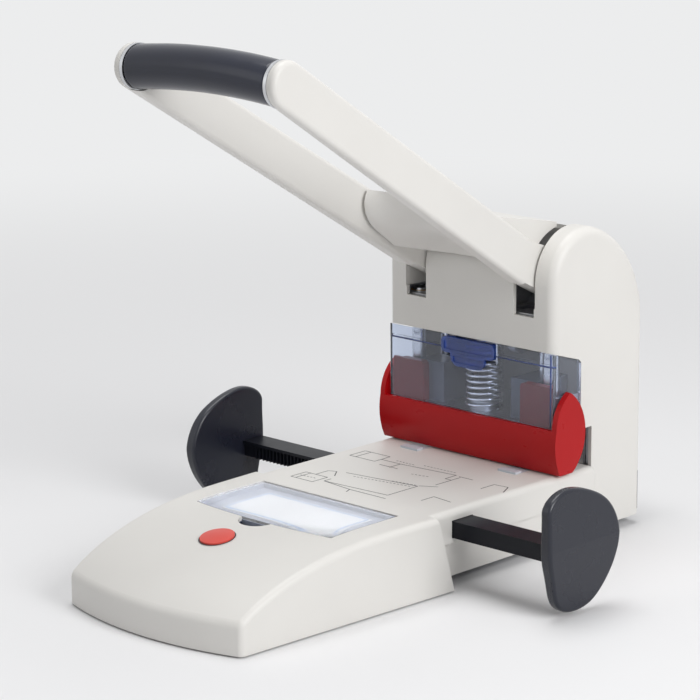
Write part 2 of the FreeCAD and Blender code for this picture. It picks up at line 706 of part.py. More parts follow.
def cheek_arcs():
    """Front and back arcs of the cheeks: each a centre and a radius, tangent to each other and the faces."""
    lean = math.radians(s.cheek_blend_angle)
    front_radius = s.cheek_front_radius
    back_radius = (s.tower_depth - front_radius * (1 + math.sin(lean))) / (1 - math.sin(lean))
    front = at(front_radius, s.cheek_top - front_radius)
    back = front - Vector(0, math.sin(lean), math.cos(lean)) * (back_radius - front_radius)
    return front, front_radius, back, back_radius


def tower_outline():
    """Side outline of the tower: low strips, throat, cover seat, rounded front and curved back."""
    gap = s.seat_gap
    cover_back = s.cover_depth + s.side_gap
    shoulder = s.cover_shoulder + s.side_gap
    front, front_radius, back, back_radius = cheek_arcs()
    lean = math.radians(s.cheek_blend_angle)

    def on_arc(centre, radius, angle):
        return centre + Vector(0, math.sin(angle), math.cos(angle)) * radius

    quarter = math.pi / 2
    start = on_arc(front, front_radius, -quarter)
    joint = on_arc(front, front_radius, lean)
    end = on_arc(back, back_radius, quarter)
    straight = [
        end,
        at(s.tower_depth, s.plate_lift),
        at(step_at(s.plate_lift) + gap, s.plate_lift),
        at(step_at(s.strip_top) + gap, s.strip_top),
        at(s.table_back + 2 * gap, s.strip_top),
        at(s.table_back + 2 * gap, s.throat_roof),
        at(cover_back, s.throat_roof),
        at(cover_back, shoulder - s.cover_wall),
        at(cover_back - s.cover_wall, shoulder),
        at(0, s.panel_foot),
        start,
    ]
    edges = [Part.makeLine(low, high) for low, high in zip(straight, straight[1:])]
    front_middle = on_arc(front, front_radius, (lean - quarter) / 2)
    back_middle = on_arc(back, back_radius, (lean + quarter) / 2)
    edges.append(Part.Arc(start, front_middle, joint).toShape())
    edges.append(Part.Arc(joint, back_middle, end).toShape())
    return Part.Wire(edges)


def inner_outline():
    """The tower outline drawn in by one wall."""
    return tower_outline().makeOffset2D(-s.wall)


def make_tower_shell():
    """Front panel and both cheeks in one moulding, open behind, below and above the axle."""
    outline = tower_outline()
    outer = slab(outline, (-TOWER_HALF, TOWER_HALF))

    def cheek_edge(edge):
        box = edge.BoundBox
        on_face = min(abs(box.XMin), abs(box.XMax)) > TOWER_HALF - s.seat_gap
        above = box.ZMax > s.panel_foot + s.wall
        return on_face and above

    outer = round_edges(outer, s.cheek_edge_radius, cheek_edge)
    shell = outer.cut(slab(inner_outline(), (-SHELL_HALF, SHELL_HALF)))
    far = s.tower_depth + s.overrun
    near = step_at(s.table_height) - s.overrun
    shell = shell.cut(
        box_between((-SHELL_HALF, SHELL_HALF), (s.wall, far), (-s.overrun, s.cheek_inner_foot))
    )
    shell = shell.cut(
        box_between((-SHELL_HALF, SHELL_HALF), (near, s.wall), (-s.overrun, s.panel_foot - s.wall))
    )
    high = s.cheek_top + s.overrun
    gap_half = s.cheek_gap_half
    shell = shell.cut(
        box_between((-gap_half, gap_half), (-s.overrun, far), (s.cheek_inner_foot, high))
    )
    axle_room = drum(
        s.axle_radius + s.seat_gap, (-SHELL_HALF, SHELL_HALF), s.axle_behind, s.axle_height
    )
    upper = box_between((-TOWER_HALF, TOWER_HALF), (near, far), (s.cheek_inner_foot, high))
    for wall in both(slab(outline, (gap_half, gap_half + s.wall))):
        shell = shell.fuse(wall.common(upper).cut(axle_room))
    hump_half = s.slot_inner
    ring = drum(s.hump_radius, (-hump_half, hump_half), s.axle_behind, s.axle_height)
    ring = ring.cut(
        drum(s.hump_radius - s.wall, (-TOWER_HALF, TOWER_HALF), s.axle_behind, s.axle_height)
    )
    front_quarter = box_between(
        (-hump_half, hump_half), (-s.overrun, s.axle_behind), (s.axle_height, high)
    )
    face = box_between((-hump_half, hump_half), (0, s.wall), (s.panel_foot, s.axle_height))
    shell = shell.fuse([ring.common(front_quarter), face])
    for slot in both(box_between((s.slot_inner, s.slot_outer), (-s.overrun, s.wall + s.overrun),
                                 (s.slot_foot, high))):
        shell = shell.cut(slot)
    return feature("tower_shell", shell.removeSplitter())


def make_rear_cover():
    """Back wall of the tower, curved forward between the cheeks above."""
    outline = tower_outline()
    inner = inner_outline()
    low_half = SHELL_HALF - s.seat_gap
    top_half = s.cheek_gap_half - s.seat_gap
    foot = s.chip_door_top + s.seat_gap
    far = s.tower_depth + s.overrun
    near = s.frame_back + s.side_gap
    lower = slab(outline, (-low_half, low_half)).cut(slab(inner, (-TOWER_HALF, TOWER_HALF)))
    lower = lower.common(
        box_between((-low_half, low_half), (near, far), (foot, s.cheek_inner_foot - s.seat_gap))
    )
    upper = slab(outline, (-top_half, top_half)).cut(slab(inner, (-TOWER_HALF, TOWER_HALF)))
    start = s.axle_behind + s.lever_hub_radius + s.overrun
    upper = upper.common(
        box_between(
            (-top_half, top_half),
            (start, far),
            (s.cheek_inner_foot - s.seat_gap, s.cheek_top),
        )
    )
    cover = lower.fuse(upper)
    for side, behind, height in cover_screw_places():
        hole = Part.makeCylinder(
            s.screw_radius + s.running_fit, far, at(near, height, side), Vector(0, 1, 0)
        )
        recess = Part.makeCylinder(
            s.screw_head_radius + s.running_fit, s.overrun, at(behind, height, side), Vector(0, 1, 0)
        )
        cover = cover.cut([hole, recess])
    return feature("rear_cover", cover.removeSplitter())


def cover_screw_places():
    """Four sunk screws through the rear cover at the level of the tie rods."""
    side = s.cover_screw_side
    behind = s.tower_depth - s.screw_head_height
    heights = (s.lower_tie_rod_height, s.upper_tie_rod_height)
    return [(sign * side, behind, height) for _, sign in SIDES for height in heights]


def screw(head_at, direction):
    """A screw with a round head: the head's underside centre and the way its shank points."""
    head = Part.makeCylinder(s.screw_head_radius, s.screw_head_height, head_at, direction * -1)
    shank = Part.makeCylinder(s.screw_radius, s.screw_length, head_at, direction)
    return head.fuse(shank)


def make_screws():
    """Screws of the rear cover and of the base plate."""
    inward = Vector(0, -1, 0)
    heads = [screw(at(behind, height, side), inward) for side, behind, height in cover_screw_places()]
    feature("rear_cover_screws", Part.makeCompound(heads))
    heads = [
        screw(at(behind, s.plate_lift, side), Vector(0, 0, 1))
        for side, behind in base_screw_places()
    ]
    feature("base_screws", Part.makeCompound(heads))


def base_screw_places():
    """Screws through the base plate: into bosses of the nose and into the legs of the rail guide."""
    front = -s.front_foot_before + 2 * s.foot_radius
    legs = [-s.pinion_before - s.guide_leg_reach, -s.pinion_before + s.guide_leg_reach]
    return [(side * s.boss_side, behind) for _, side in SIDES for behind in [front] + legs]


def make_base():
    """Base plate and rubber feet."""
    half = FRAME_OUTER_TEXT
    pan = block(
        (f"-{half}", half),
        ("-plate_before", "tower_depth - 2 * wall"),
        ("plate_lift", PLATE_TOP_TEXT),
    )
    rows = (
        "-front_foot_before + 2 * foot_radius",
        "-pinion_before - guide_leg_reach",
        "-pinion_before + guide_leg_reach",
    )
    holes = [
        rod("z", "screw_radius + running_fit", "plate_lift - overrun", "plate_lift + overrun",
            x=f"{side} * boss_side", y=behind)
        for _, side in SIDES
        for behind in rows
    ]
    keep(cut(pan, *holes), "base_plate")
    for end, behind in (("front", "-front_foot_before"), ("rear", "back_foot_behind")):
        for name, side in SIDES:
            foot = rod("z", "foot_radius", "0", "plate_lift", x=f"{side} * foot_side", y=behind)
            keep(foot, f"{end}_{name}_foot")


# Crown of the side frames, from the back to the front: shares of the tower's depth and of the
# height of the cheeks
FRAME_CROWN_SHARES = ((0.7, 0.87), (0.5, 0.925), (0.3, 0.915), (0.12, 0.845), (0.06, 0.78))
FRAME_SHOULDER_SHARE = 0.69


def make_frames():
    """Two steel side frames with the throat between their upper and lower parts, and tie rods."""
    lug_top = "bail_pivot_height + lug_reach"
    lug_foot = "bail_pivot_height - lug_reach"
    lug_front = "bail_pivot_behind - lug_reach"
    throat_edge = "throat_back + back_stop_thickness + seat_gap"
    back_edge = "cover_depth + side_gap + cover_wall"
    crown = [(f"{deep} * tower_depth", f"{high} * cheek_top") for deep, high in FRAME_CROWN_SHARES]
    outline = [
        (throat_edge, PLATE_TOP_TEXT),
        ("frame_back", PLATE_TOP_TEXT),
        ("frame_back", f"{FRAME_SHOULDER_SHARE} * cheek_top"),
        *crown,
        (crown[-1][0], "panel_foot + wall"),
        (back_edge, "cover_shoulder"),
        (back_edge, lug_top),
        (lug_front, lug_top),
        (lug_front, lug_foot),
        (back_edge, lug_foot),
        (back_edge, "throat_roof"),
        (throat_edge, "throat_roof"),
    ]
    holes = (
        ("axle_behind", "axle_height", "bush_radius + running_fit"),
        ("bail_pivot_behind", "bail_pivot_height", "bail_pin_radius + running_fit"),
    )
    for name, low in (("left", f"-{FRAME_OUTER_TEXT}"), ("right", FRAME_INNER_TEXT)):
        plate(f"{name}_side_frame", low, "frame_thickness", outline, holes)
    for name in ("upper", "lower"):
        tie = rod("x", "tie_rod_radius", f"-{FRAME_INNER_TEXT}", FRAME_INNER_TEXT,
                  y="tie_rod_behind", z=f"{name}_tie_rod_height")
        keep(tie, f"{name}_tie_rod")


def make_axle():
    """Lever axle and its two bushes."""
    end = f"({FRAME_OUTER_TEXT} + side_gap / 2)"
    axle = rod("x", "axle_radius", f"-{end}", end, y="axle_behind", z="axle_height")
    keep(axle, "lever_axle")
    bushes = []
    for low, high in ((f"-{FRAME_OUTER_TEXT}", f"-({FRAME_INNER_TEXT} - wall)"),
                      (f"{FRAME_INNER_TEXT} - wall", FRAME_OUTER_TEXT)):
        ring = rod("x", "bush_radius", low, high, y="axle_behind", z="axle_height")
        bore = rod("x", "axle_radius + running_fit", f"{low} - overrun", f"{high} + overrun",
                   y="axle_behind", z="axle_height")
        bushes.append(cut(ring, bore))
    keep(group(*bushes), "axle_bushes")


def lever_profile():
    """Side outline of a lever arm: hub, bent root and straight arm, closed by a round tip."""
    grip = at(-s.grip_before, s.grip_height)
    knee = at(-s.arm_knee_before, s.arm_knee_height)
    along = (knee - grip).normalize()
    up = Vector(1, 0, 0).cross(along)
    tip = grip - along * s.arm_half_depth
    far_top = grip + up * s.arm_half_depth
    far_foot = grip - up * s.arm_half_depth
    slot_turn = math.hypot(s.axle_behind, s.axle_height - s.slot_foot)
    slot_dip = math.asin((s.axle_height - s.slot_foot) / slot_turn)
    free_angle = math.radians(s.press_angle) - slot_dip + s.web_gap / slot_turn
    neck_turn = slot_turn + s.web_gap
    neck = AXLE + Vector(0, -math.cos(free_angle), math.sin(free_angle)) * neck_turn
    foot_line = knee - up * s.arm_half_depth
    reach = (neck.y - foot_line.y) / along.y
    corner = foot_line + along * min(reach, reach - s.web_gap)
    hub_foot = AXLE + Vector(0, 0, -s.lever_hub_radius)
    hub_back = AXLE + Vector(0, s.lever_hub_radius, 0)
    hub_top = AXLE + Vector(0, 0, s.lever_hub_radius)
    shoulder = knee + up * s.arm_half_depth + along * s.arm_shoulder
    half_root = math.sqrt(0.5)
    low_mid = AXLE + Vector(0, half_root, -half_root) * s.lever_hub_radius
    high_mid = AXLE + Vector(0, half_root, half_root) * s.lever_hub_radius
    return Part.Wire([
        Part.Arc(far_foot, tip, far_top).toShape(),
        Part.makeLine(far_top, shoulder),
        Part.makeLine(shoulder, hub_top),
        Part.Arc(hub_top, high_mid, hub_back).toShape(),
        Part.Arc(hub_back, low_mid, hub_foot).toShape(),
        Part.makeLine(hub_foot, neck),
        Part.makeLine(neck, corner),
        Part.makeLine(corner, far_foot),
    ])


def arm_plan():
    """Outline of the right arm seen from above: parallel root, then flaring to the grip."""
    root_back = s.axle_behind + s.lever_hub_radius + s.overrun
    flare_start = s.lever_hub_radius / 2
    tip_front = -s.grip_before - s.arm_half_depth - s.overrun
    root_inner = s.arm_root_outer - s.arm_width
    tip_inner = s.arm_tip_outer - s.arm_tip_width
    return polygon([
        at(root_back, 0, root_inner),
        at(root_back, 0, s.arm_root_outer),
        at(flare_start, 0, s.arm_root_outer),
        at(tip_front, 0, s.arm_tip_outer),
        at(tip_front, 0, tip_inner),
        at(flare_start, 0, root_inner),
    ])


def bowed_bar(radius, half_length):
    """A round bar along X through the grip's centre that rises in its middle."""
    turn = (s.grip_half_length ** 2 + s.grip_bow ** 2) / (2 * s.grip_bow)
    sweep = math.degrees(math.asin(half_length / turn))
    centre = at(-s.grip_before, s.grip_height + s.grip_bow)
    circle = Part.makeCircle(radius, centre, Vector(1, 0, 0))
    face = Part.Face(Part.Wire([circle]))
    pivot = centre - Vector(0, 0, turn)
    bar = face.revolve(pivot, Vector(0, 1, 0), sweep)
    return bar.fuse(mirrored(bar)).removeSplitter()


# Front of the web from its top to its lip, before and above the axle, as shares of its reach:
# in the middle plane and where it meets an arm
WEB_MIDDLE_SHARES = (
    (-0.925, 0.6625), (-0.875, 0.525), (-0.806, 0.425), (-0.6, 0.275), (-0.42, 0.15),
)
WEB_SIDE_SHARES = (
    (-0.9725, 0.665), (-1.01, 0.5725), (-0.975, 0.445), (-0.8375, 0.31), (-0.69, 0.2),
)
WEB_STATION_SHARES = (-1.06, -0.9, -0.7, -0.4, 0, 0.4, 0.7, 0.9, 1.06)
LIP_ROOT_SHARES = (-0.125, 0.058)


def hood_points():
    """Start of the hood at the knee and its end over the axle, in the middle plane."""
    grip = at(-s.grip_before, s.grip_height)
    knee = at(-s.arm_knee_before, s.arm_knee_height)
    along = (knee - grip).normalize()
    up = Vector(1, 0, 0).cross(along)
    start = knee + up * s.arm_half_depth
    end = AXLE + Vector(0, -s.overrun, s.hump_radius + s.web_gap + s.wall)
    return start, end


def web_section(share):
    """Outline of the web and hood across X, at a share of the distance to an arm."""
    bend = min(abs(share), 1) ** 3
    side = Vector(share * (s.arm_root_outer - s.arm_width), 0, 0)
    front = []
    for middle, outer in zip(WEB_MIDDLE_SHARES, WEB_SIDE_SHARES):
        behind = middle[0] + (outer[0] - middle[0]) * bend
        above = middle[1] + (outer[1] - middle[1]) * bend
        front.append(AXLE + side + Vector(0, behind, above) * s.web_reach)
    start, end = (point + side for point in hood_points())
    root = AXLE + side + Vector(0, *LIP_ROOT_SHARES) * s.web_reach
    scoop = Part.BSplineCurve()
    scoop.interpolate(front)
    return Part.Wire([
        scoop.toShape(),
        Part.makeLine(front[-1], root),
        Part.makeLine(root, end),
        Part.makeLine(end, start),
        Part.makeLine(start, front[0]),
    ])


def make_web():
    """Web that joins the arms: a scoop in front and a hood above, hollow round the axle."""
    body = Part.makeLoft([web_section(share) for share in WEB_STATION_SHARES], True, False)
    start, end = hood_points()
    hood = polygon([start, end, end - Vector(0, 0, s.hump_radius)])
    hood = slab(hood, (-s.hood_half_width, s.hood_half_width))
    hollow = drum(s.hump_radius + s.web_gap, (-TOWER_HALF, TOWER_HALF), s.axle_behind, s.axle_height)
    return [body.cut(hollow), hood.cut(hollow)]


def make_lever():
    """Lever of two arms, web and cross bar, with its soft grip and end rings."""
    arms = slab(lever_profile(), (-s.arm_tip_outer, s.arm_tip_outer))
    sides = both(raised(arm_plan(), 0, 2 * s.grip_height))
    arm_pair = [arms.common(side) for side in sides]

    def outer_edge(edge):
        box = edge.BoundBox
        return box.YMin < s.panel_y - s.arm_knee_before / 2 and box.YLength > s.seat_gap

    arm_pair = [round_edges(arm, s.arm_edge_radius, outer_edge) for arm in arm_pair]
    lever = arm_pair[0].fuse([arm_pair[1]] + make_web())
    grip_room = drum(
        s.arm_half_depth + s.seat_gap,
        (-s.grip_half_length - s.grip_ring_width - s.seat_gap,
         s.grip_half_length + s.grip_ring_width + s.seat_gap),
        -s.grip_before,
        s.grip_height,
    )
    lever = lever.cut(grip_room)
    core_half = s.arm_tip_outer - s.arm_tip_width / 2
    lever = lever.fuse(bowed_bar(s.grip_core_radius, core_half))
    bore = drum(
        s.yoke_tube_radius + s.running_fit / 2,
        (-TOWER_HALF, TOWER_HALF),
        s.axle_behind,
        s.axle_height,
    )
    lever = lever.cut(bore)
    feature("lever", lever.removeSplitter())
    grip_half = s.grip_half_length
    room = box_between((-grip_half, grip_half), (-s.nose_reach, 0), (s.axle_height, 2 * s.grip_height))
    sleeve = bowed_bar(s.arm_half_depth, grip_half + s.overrun).common(room)
    feature("lever_grip", sleeve.cut(bowed_bar(s.grip_core_radius + s.running_fit, TABLE_HALF)))
    near = s.grip_half_length + s.seat_gap
    ring = drum(
        s.arm_half_depth, (near, near + s.grip_ring_width - s.seat_gap), -s.grip_before, s.grip_height
    )
    ring = ring.cut(bowed_bar(s.grip_core_radius + s.running_fit, TABLE_HALF))
    feature("grip_rings", Part.makeCompound(both(ring)))


def drive_place(angle):
    """Centre of the drive rollers when the lever has turned by an angle in degrees."""
    swing = math.radians(s.drive_start_angle - angle)
    return AXLE + Vector(0, -math.sin(swing), -math.cos(swing)) * s.drive_arm_length


def make_drive():
    """Drive yoke on the axle, with pins and rollers that run in the cam plates."""
    outer = s.arm_root_outer - s.seat_gap / 2
    tube = drum(s.yoke_tube_radius, (-outer, outer), s.axle_behind, s.axle_height)
    start = drive_place(0)
    along = (start - AXLE).normalize()
    across = Vector(1, 0, 0).cross(along)
    root = across * s.yoke_arm_root
    tip = across * s.drive_arm_tip_radius
    blade = polygon([AXLE + root, start + tip, start - tip, AXLE - root])
    span = (s.drive_arm_inner, s.drive_arm_inner + s.drive_arm_thickness)
    behind = start.y - s.panel_y
    arm = slab(blade, span).fuse(drum(s.drive_arm_tip_radius, span, behind, start.z))
    yoke = tube.fuse(both(arm))
    yoke = yoke.cut(
        drum(s.axle_radius + s.running_fit, (-TOWER_HALF, TOWER_HALF), s.axle_behind, s.axle_height)
    )
    pin_span = (s.drive_arm_inner, span[1] + s.seat_gap + s.cam_plate_thickness)
    pin = drum(s.drive_pin_radius, pin_span, behind, start.z)
    yoke = yoke.cut(both(drum(s.drive_pin_radius, (pin_span[0] - s.overrun, pin_span[1]), behind, start.z)))
    feature("drive_yoke", yoke.removeSplitter())
    feature("drive_pins", Part.makeCompound(both(pin)))
    roller_span = (span[1] + s.seat_gap, pin_span[1])
    roller = drum(s.roller_radius, roller_span, behind, start.z)
    roller = roller.cut(drum(s.drive_pin_radius + s.running_fit, (0, TOWER_HALF), behind, start.z))
    feature("drive_rollers", Part.makeCompound(both(roller)))


CAM_STEPS = 24


def cam_path(offset):
    """Line that the rollers follow in the resting carriage, moved sideways by an offset."""
    steps = CAM_STEPS
    points = []
    for index in range(steps + 1):
        share = index / steps
        place = drive_place(s.press_angle * share)
        points.append(place + Vector(0, 0, s.stroke * share))
    moved = []
    for index, point in enumerate(points):
        before = points[max(index - 1, 0)]
        after = points[min(index + 1, steps)]
        along = (after - before).normalize()
        moved.append(point + Vector(1, 0, 0).cross(along) * offset)
    return moved


def cam_band(radius, span):
    """The space swept by a round roller of some radius along its cam path."""
    upper = Part.BSplineCurve()
    upper.interpolate(cam_path(radius))
    lower = Part.BSplineCurve()
    lower.interpolate(cam_path(-radius))
    sides = [upper.toShape(), lower.toShape()]
    ends = [
        Part.makeLine(cam_path(radius)[index], cam_path(-radius)[index]) for index in (0, -1)
    ]
    band = slab(Part.Wire(Part.__sortEdges__(sides + ends)), span)
    for index in (0, -1):
        end = cam_path(0)[index]
        band = band.fuse(drum(radius, span, end.y - s.panel_y, end.z))
    return band


def make_carriage():
    """Carriage that carries both punch pins, with its cam plates, brackets, bar and spring seat."""
    foot = s.carriage_foot
    head = foot + s.carriage_height
    bar_back = s.carriage_bar_front + s.carriage_bar_depth
    bracket_outer = FRAME_INNER - s.side_gap
    bar = box_between((-bracket_outer, bracket_outer), (s.carriage_bar_front, bar_back), (foot, head))
    inner = s.drive_arm_inner + s.drive_arm_thickness + s.seat_gap
    span = (inner, inner + s.cam_plate_thickness)
    radius = s.roller_radius + s.cam_slot_clearance
    cam = cam_band(radius + s.cam_wall, span)
    tongue = box_between(span, (s.carriage_front, s.carriage_bar_front), (foot, head))
    start = drive_place(0)
    below = box_between(span, (0, start.y - s.panel_y + s.roller_radius), (start.z, foot))
    cam = cam.fuse([tongue, below.common(cam)]).cut(cam_band(radius, span))
    strip = box_between(
        (-bracket_outer, bracket_outer),
        (s.carriage_front, s.bracket_front + s.wall),
        (foot, head),
    )
    bracket = box_between(
        (s.bracket_inner, bracket_outer), (s.bracket_front, s.carriage_bar_front), (foot, head)
    )
    seat = post(s.spring_radius + s.spring_wire_radius, 0, s.spring_behind, foot, foot + s.wall)
    spigot = post(s.spigot_radius, 0, s.spring_behind, foot - s.spigot_height, foot)
    carriage = bar.fuse(both(cam) + both(bracket) + [strip, seat, spigot])
    for _, side in SIDES:
        shank = post(s.hole_radius, side * PIN_SIDE, PIN_BEHIND, foot - s.overrun, head)
        head_foot = foot + s.pin_head_height
        recess = post(
            s.pin_head_radius + s.seat_gap,
            side * PIN_SIDE,
            PIN_BEHIND,
            head_foot,
            head + s.overrun,
        )
        bush = post(
            s.column_radius + s.bush_wall,
            side * s.column_side,
            s.column_behind,
            foot - s.overrun,
            head + s.overrun,
        )
        carriage = carriage.cut([shank, recess, bush])
    return feature("carriage", carriage.removeSplitter())


def make_guides():
    """Guide columns, carriage bushes, punch pins, guide blocks and red pin releases."""
    bushes = []
    for name, side in SIDES:
        place = {"x": f"{side} * column_side", "y": "column_behind"}
        column = rod("z", "column_radius", THROAT_TOP_TEXT, "column_top", **place)
        keep(column, f"{name}_guide_column")
        ring = rod("z", "column_radius + bush_wall", "carriage_foot - seat_gap",
                   "carriage_foot + carriage_height", **place)
        bore = rod("z", "column_radius + running_fit", "carriage_foot - overrun",
                   "column_top + overrun", **place)
        bushes.append(cut(ring, bore))
        place = {"x": f"{side} * {PIN_SIDE_TEXT}", "y": PIN_BEHIND_TEXT}
        shank = rod("z", "hole_radius - running_fit", "throat_roof + pin_retreat",
                    "carriage_foot + pin_head_height", **place)
        cap = rod("z", "pin_head_radius", "carriage_foot + pin_head_height",
                  "carriage_foot + 2 * pin_head_height", **place)
        keep(fuse(shank, cap), f"{name}_punch_pin")
        low, high = sorted((side * s.guide_block_inner, side * s.guide_block_outer))
        inner, outer = ("guide_block_inner", "guide_block_outer")
        ends = (inner, outer) if side > 0 else (f"-{outer}", f"-{inner}")
        top = f"{THROAT_TOP_TEXT} + guide_block_height"
        solid = block(ends, ("guide_block_front", "throat_back"), (THROAT_TOP_TEXT, top))
        bore = rod("z", "hole_radius + running_fit", f"{THROAT_TOP_TEXT} - overrun",
                   f"{top} + overrun", **place)
        keep(cut(solid, bore), f"{name}_pin_guide")
        heights = (THROAT_TOP, THROAT_TOP + s.guide_block_height)
        release = box_between(
            sorted((side * s.release_inner, side * (FRAME_INNER - s.seat_gap))),
            (s.release_front, s.guide_block_front - s.seat_gap),
            heights,
        )
        tab = box_between(
            sorted((side * s.release_inner, side * s.release_outer)),
            (s.release_front, s.release_front + s.release_tab),
            heights,
        )
        release = release.fuse(tab).removeSplitter()

        def top_corner(edge):
            box = edge.BoundBox
            along_y = box.YLength > s.wall
            return along_y and box.ZMin > THROAT_TOP + s.guide_block_height - s.seat_gap

        feature(f"{name}_pin_release", round_edges(release, s.release_corner, top_corner))
    keep(group(*bushes), "carriage_bushes")


def helix_points(radius, low, high, turns, steps_per_turn=4):
    """Points and directions on a helix about +Z, a few to each turn."""
    count = int(round(turns * steps_per_turn))
    rise = (high - low) / count
    points = []
    for index in range(count + 1):
        angle = 2 * math.pi * index / steps_per_turn
        place = Vector(radius * math.cos(angle), radius * math.sin(angle), low + rise * index)
        slope = rise * steps_per_turn / (2 * math.pi)
        way = Vector(-radius * math.sin(angle), radius * math.cos(angle), slope).normalize()
        points.append((place, way))
    return points


def biarc(start, start_way, end, end_way):
    """Two tangent arcs from one point and direction to another."""
    chord = end - start
    both_ways = start_way + end_way
    a = 2 * (1 - start_way.dot(end_way))
    b = 2 * chord.dot(both_ways)
    c = -chord.dot(chord)
    reach = (-b + math.sqrt(b * b - 4 * a * c)) / (2 * a)
    joint = (start + start_way * reach + end - end_way * reach) * 0.5
    return [arc_from(start, start_way, joint), arc_back(joint, end, end_way)]


def arc_from(start, way, end):
    """Arc that leaves a point in a direction and ends at another point."""
    chord = end - start
    normal = way.cross(chord).cross(way).normalize()
    radius = chord.dot(chord) / (2 * chord.dot(normal))
    centre = start + normal * radius
    middle = (start + end) * 0.5 - centre
    return Part.Arc(start, centre + middle.normalize() * radius, end).toShape()


def arc_back(start, end, way):
    """Arc that arrives at a point in a direction."""
    edge = arc_from(end, way * -1, start)
    middle = edge.valueAt((edge.FirstParameter + edge.LastParameter) / 2)
    return Part.Arc(start, middle, end).toShape()


def coil(name, radius, wire, low, high, turns):
    """A compression spring about +Z at the origin, one unbroken tube with a plain pitch."""
    stations = helix_points(radius, low + wire, high - wire, turns)
    edges = []
    for (start, start_way), (end, end_way) in zip(stations, stations[1:]):
        edges += biarc(start, start_way, end, end_way)
    spine = Part.Wire(edges)
    first, way = stations[0]
    section = Part.Wire([Part.makeCircle(wire, first, way)])
    sweep = Part.BRepOffsetAPI.MakePipeShell(spine)
    sweep.add(section)
    sweep.build()
    sweep.makeSolid()
    tube = sweep.shape()
    least = min(
        (stations[index][0] - stations[index + 4][0]).Length for index in range(len(stations) - 4)
    )
    print(name, "least gap between turns", round(least - 2 * wire, 2), "volume over section times length",
          round(tube.Volume / (math.pi * wire ** 2 * spine.Length), 4))
    return tube


def make_return_spring():
    """Return spring between the throat plate and the carriage."""
    spring = coil(
        "return_spring", s.spring_radius, s.spring_wire_radius, THROAT_TOP, s.carriage_foot, s.spring_turns
    )
    spring.translate(at(s.spring_behind, 0))
    return feature("return_spring", spring)


def make_throat():
    """Throat plate above the paper, back stop, die bed, dies and their tongues."""
    half = BETWEEN_FRAMES_TEXT
    roof = block((f"-{half}", half), ("cover_wall + seat_gap", "die_bed_back"),
                 ("throat_roof", THROAT_TOP_TEXT))
    post_below = rod("z", "spigot_radius", THROAT_TOP_TEXT, f"{THROAT_TOP_TEXT} + spigot_height",
                     x="0", y="spring_behind")
    bores = []
    for _, side in SIDES:
        bores.append(rod("z", "hole_radius + running_fit", "throat_roof - overrun",
                         f"{THROAT_TOP_TEXT} + overrun", x=f"{side} * {PIN_SIDE_TEXT}", y=PIN_BEHIND_TEXT))
    keep(cut(fuse(roof, post_below), *bores), "throat_plate")
    stop = block((f"-{half}", half), ("throat_back", "throat_back + back_stop_thickness"),
                 ("die_bed_top", "throat_roof"))
    keep(stop, "back_stop")
    bed = block((f"-{half}", half), ("cover_wall", "die_bed_back"), ("die_bed_foot", "die_bed_top"))
    holes = []
    for _, side in SIDES:
        place = {"x": f"{side} * {PIN_SIDE_TEXT}", "y": PIN_BEHIND_TEXT}
        holes.append(rod("z", "die_radius + running_fit", "table_height - die_height", "table_height", **place))
        holes.append(rod("z", "chute_radius", "die_bed_foot - overrun", "table_height", **place))
    keep(cut(bed, *holes), "die_bed")
    for name, side in SIDES:
        place = {"x": f"{side} * {PIN_SIDE_TEXT}", "y": PIN_BEHIND_TEXT}
        ring = rod("z", "die_radius", "table_height - die_height", "table_height", **place)
        bore = rod("z", "hole_radius + running_fit", "die_bed_foot", "table_height + overrun", **place)
        keep(cut(ring, bore), f"{name}_die")
        middle = f"{side} * {PIN_SIDE_TEXT}"
        tongue = block((f"{middle} - carrier_half_width", f"{middle} + carrier_half_width"),
                       ("-carrier_before", "table_back"), ("die_bed_top", "table_height"))
        lip = block((f"{middle} - carrier_half_width", f"{middle} + carrier_half_width"),
                    ("-carrier_before", "-carrier_before / 2"), ("die_bed_top", "table_height + tongue_lip"))
        hole = rod("z", "die_radius + running_fit", "die_bed_foot", "table_height + overrun", **place)
        keep(cut(fuse(tongue, lip), hole), f"{name}_die_carrier")


# Ear of the bail, as shares of the cover's depth: neck, tip, belly at the back, foot
EAR_SHARES = (0.125, 0.4, 0.96, 0.5)


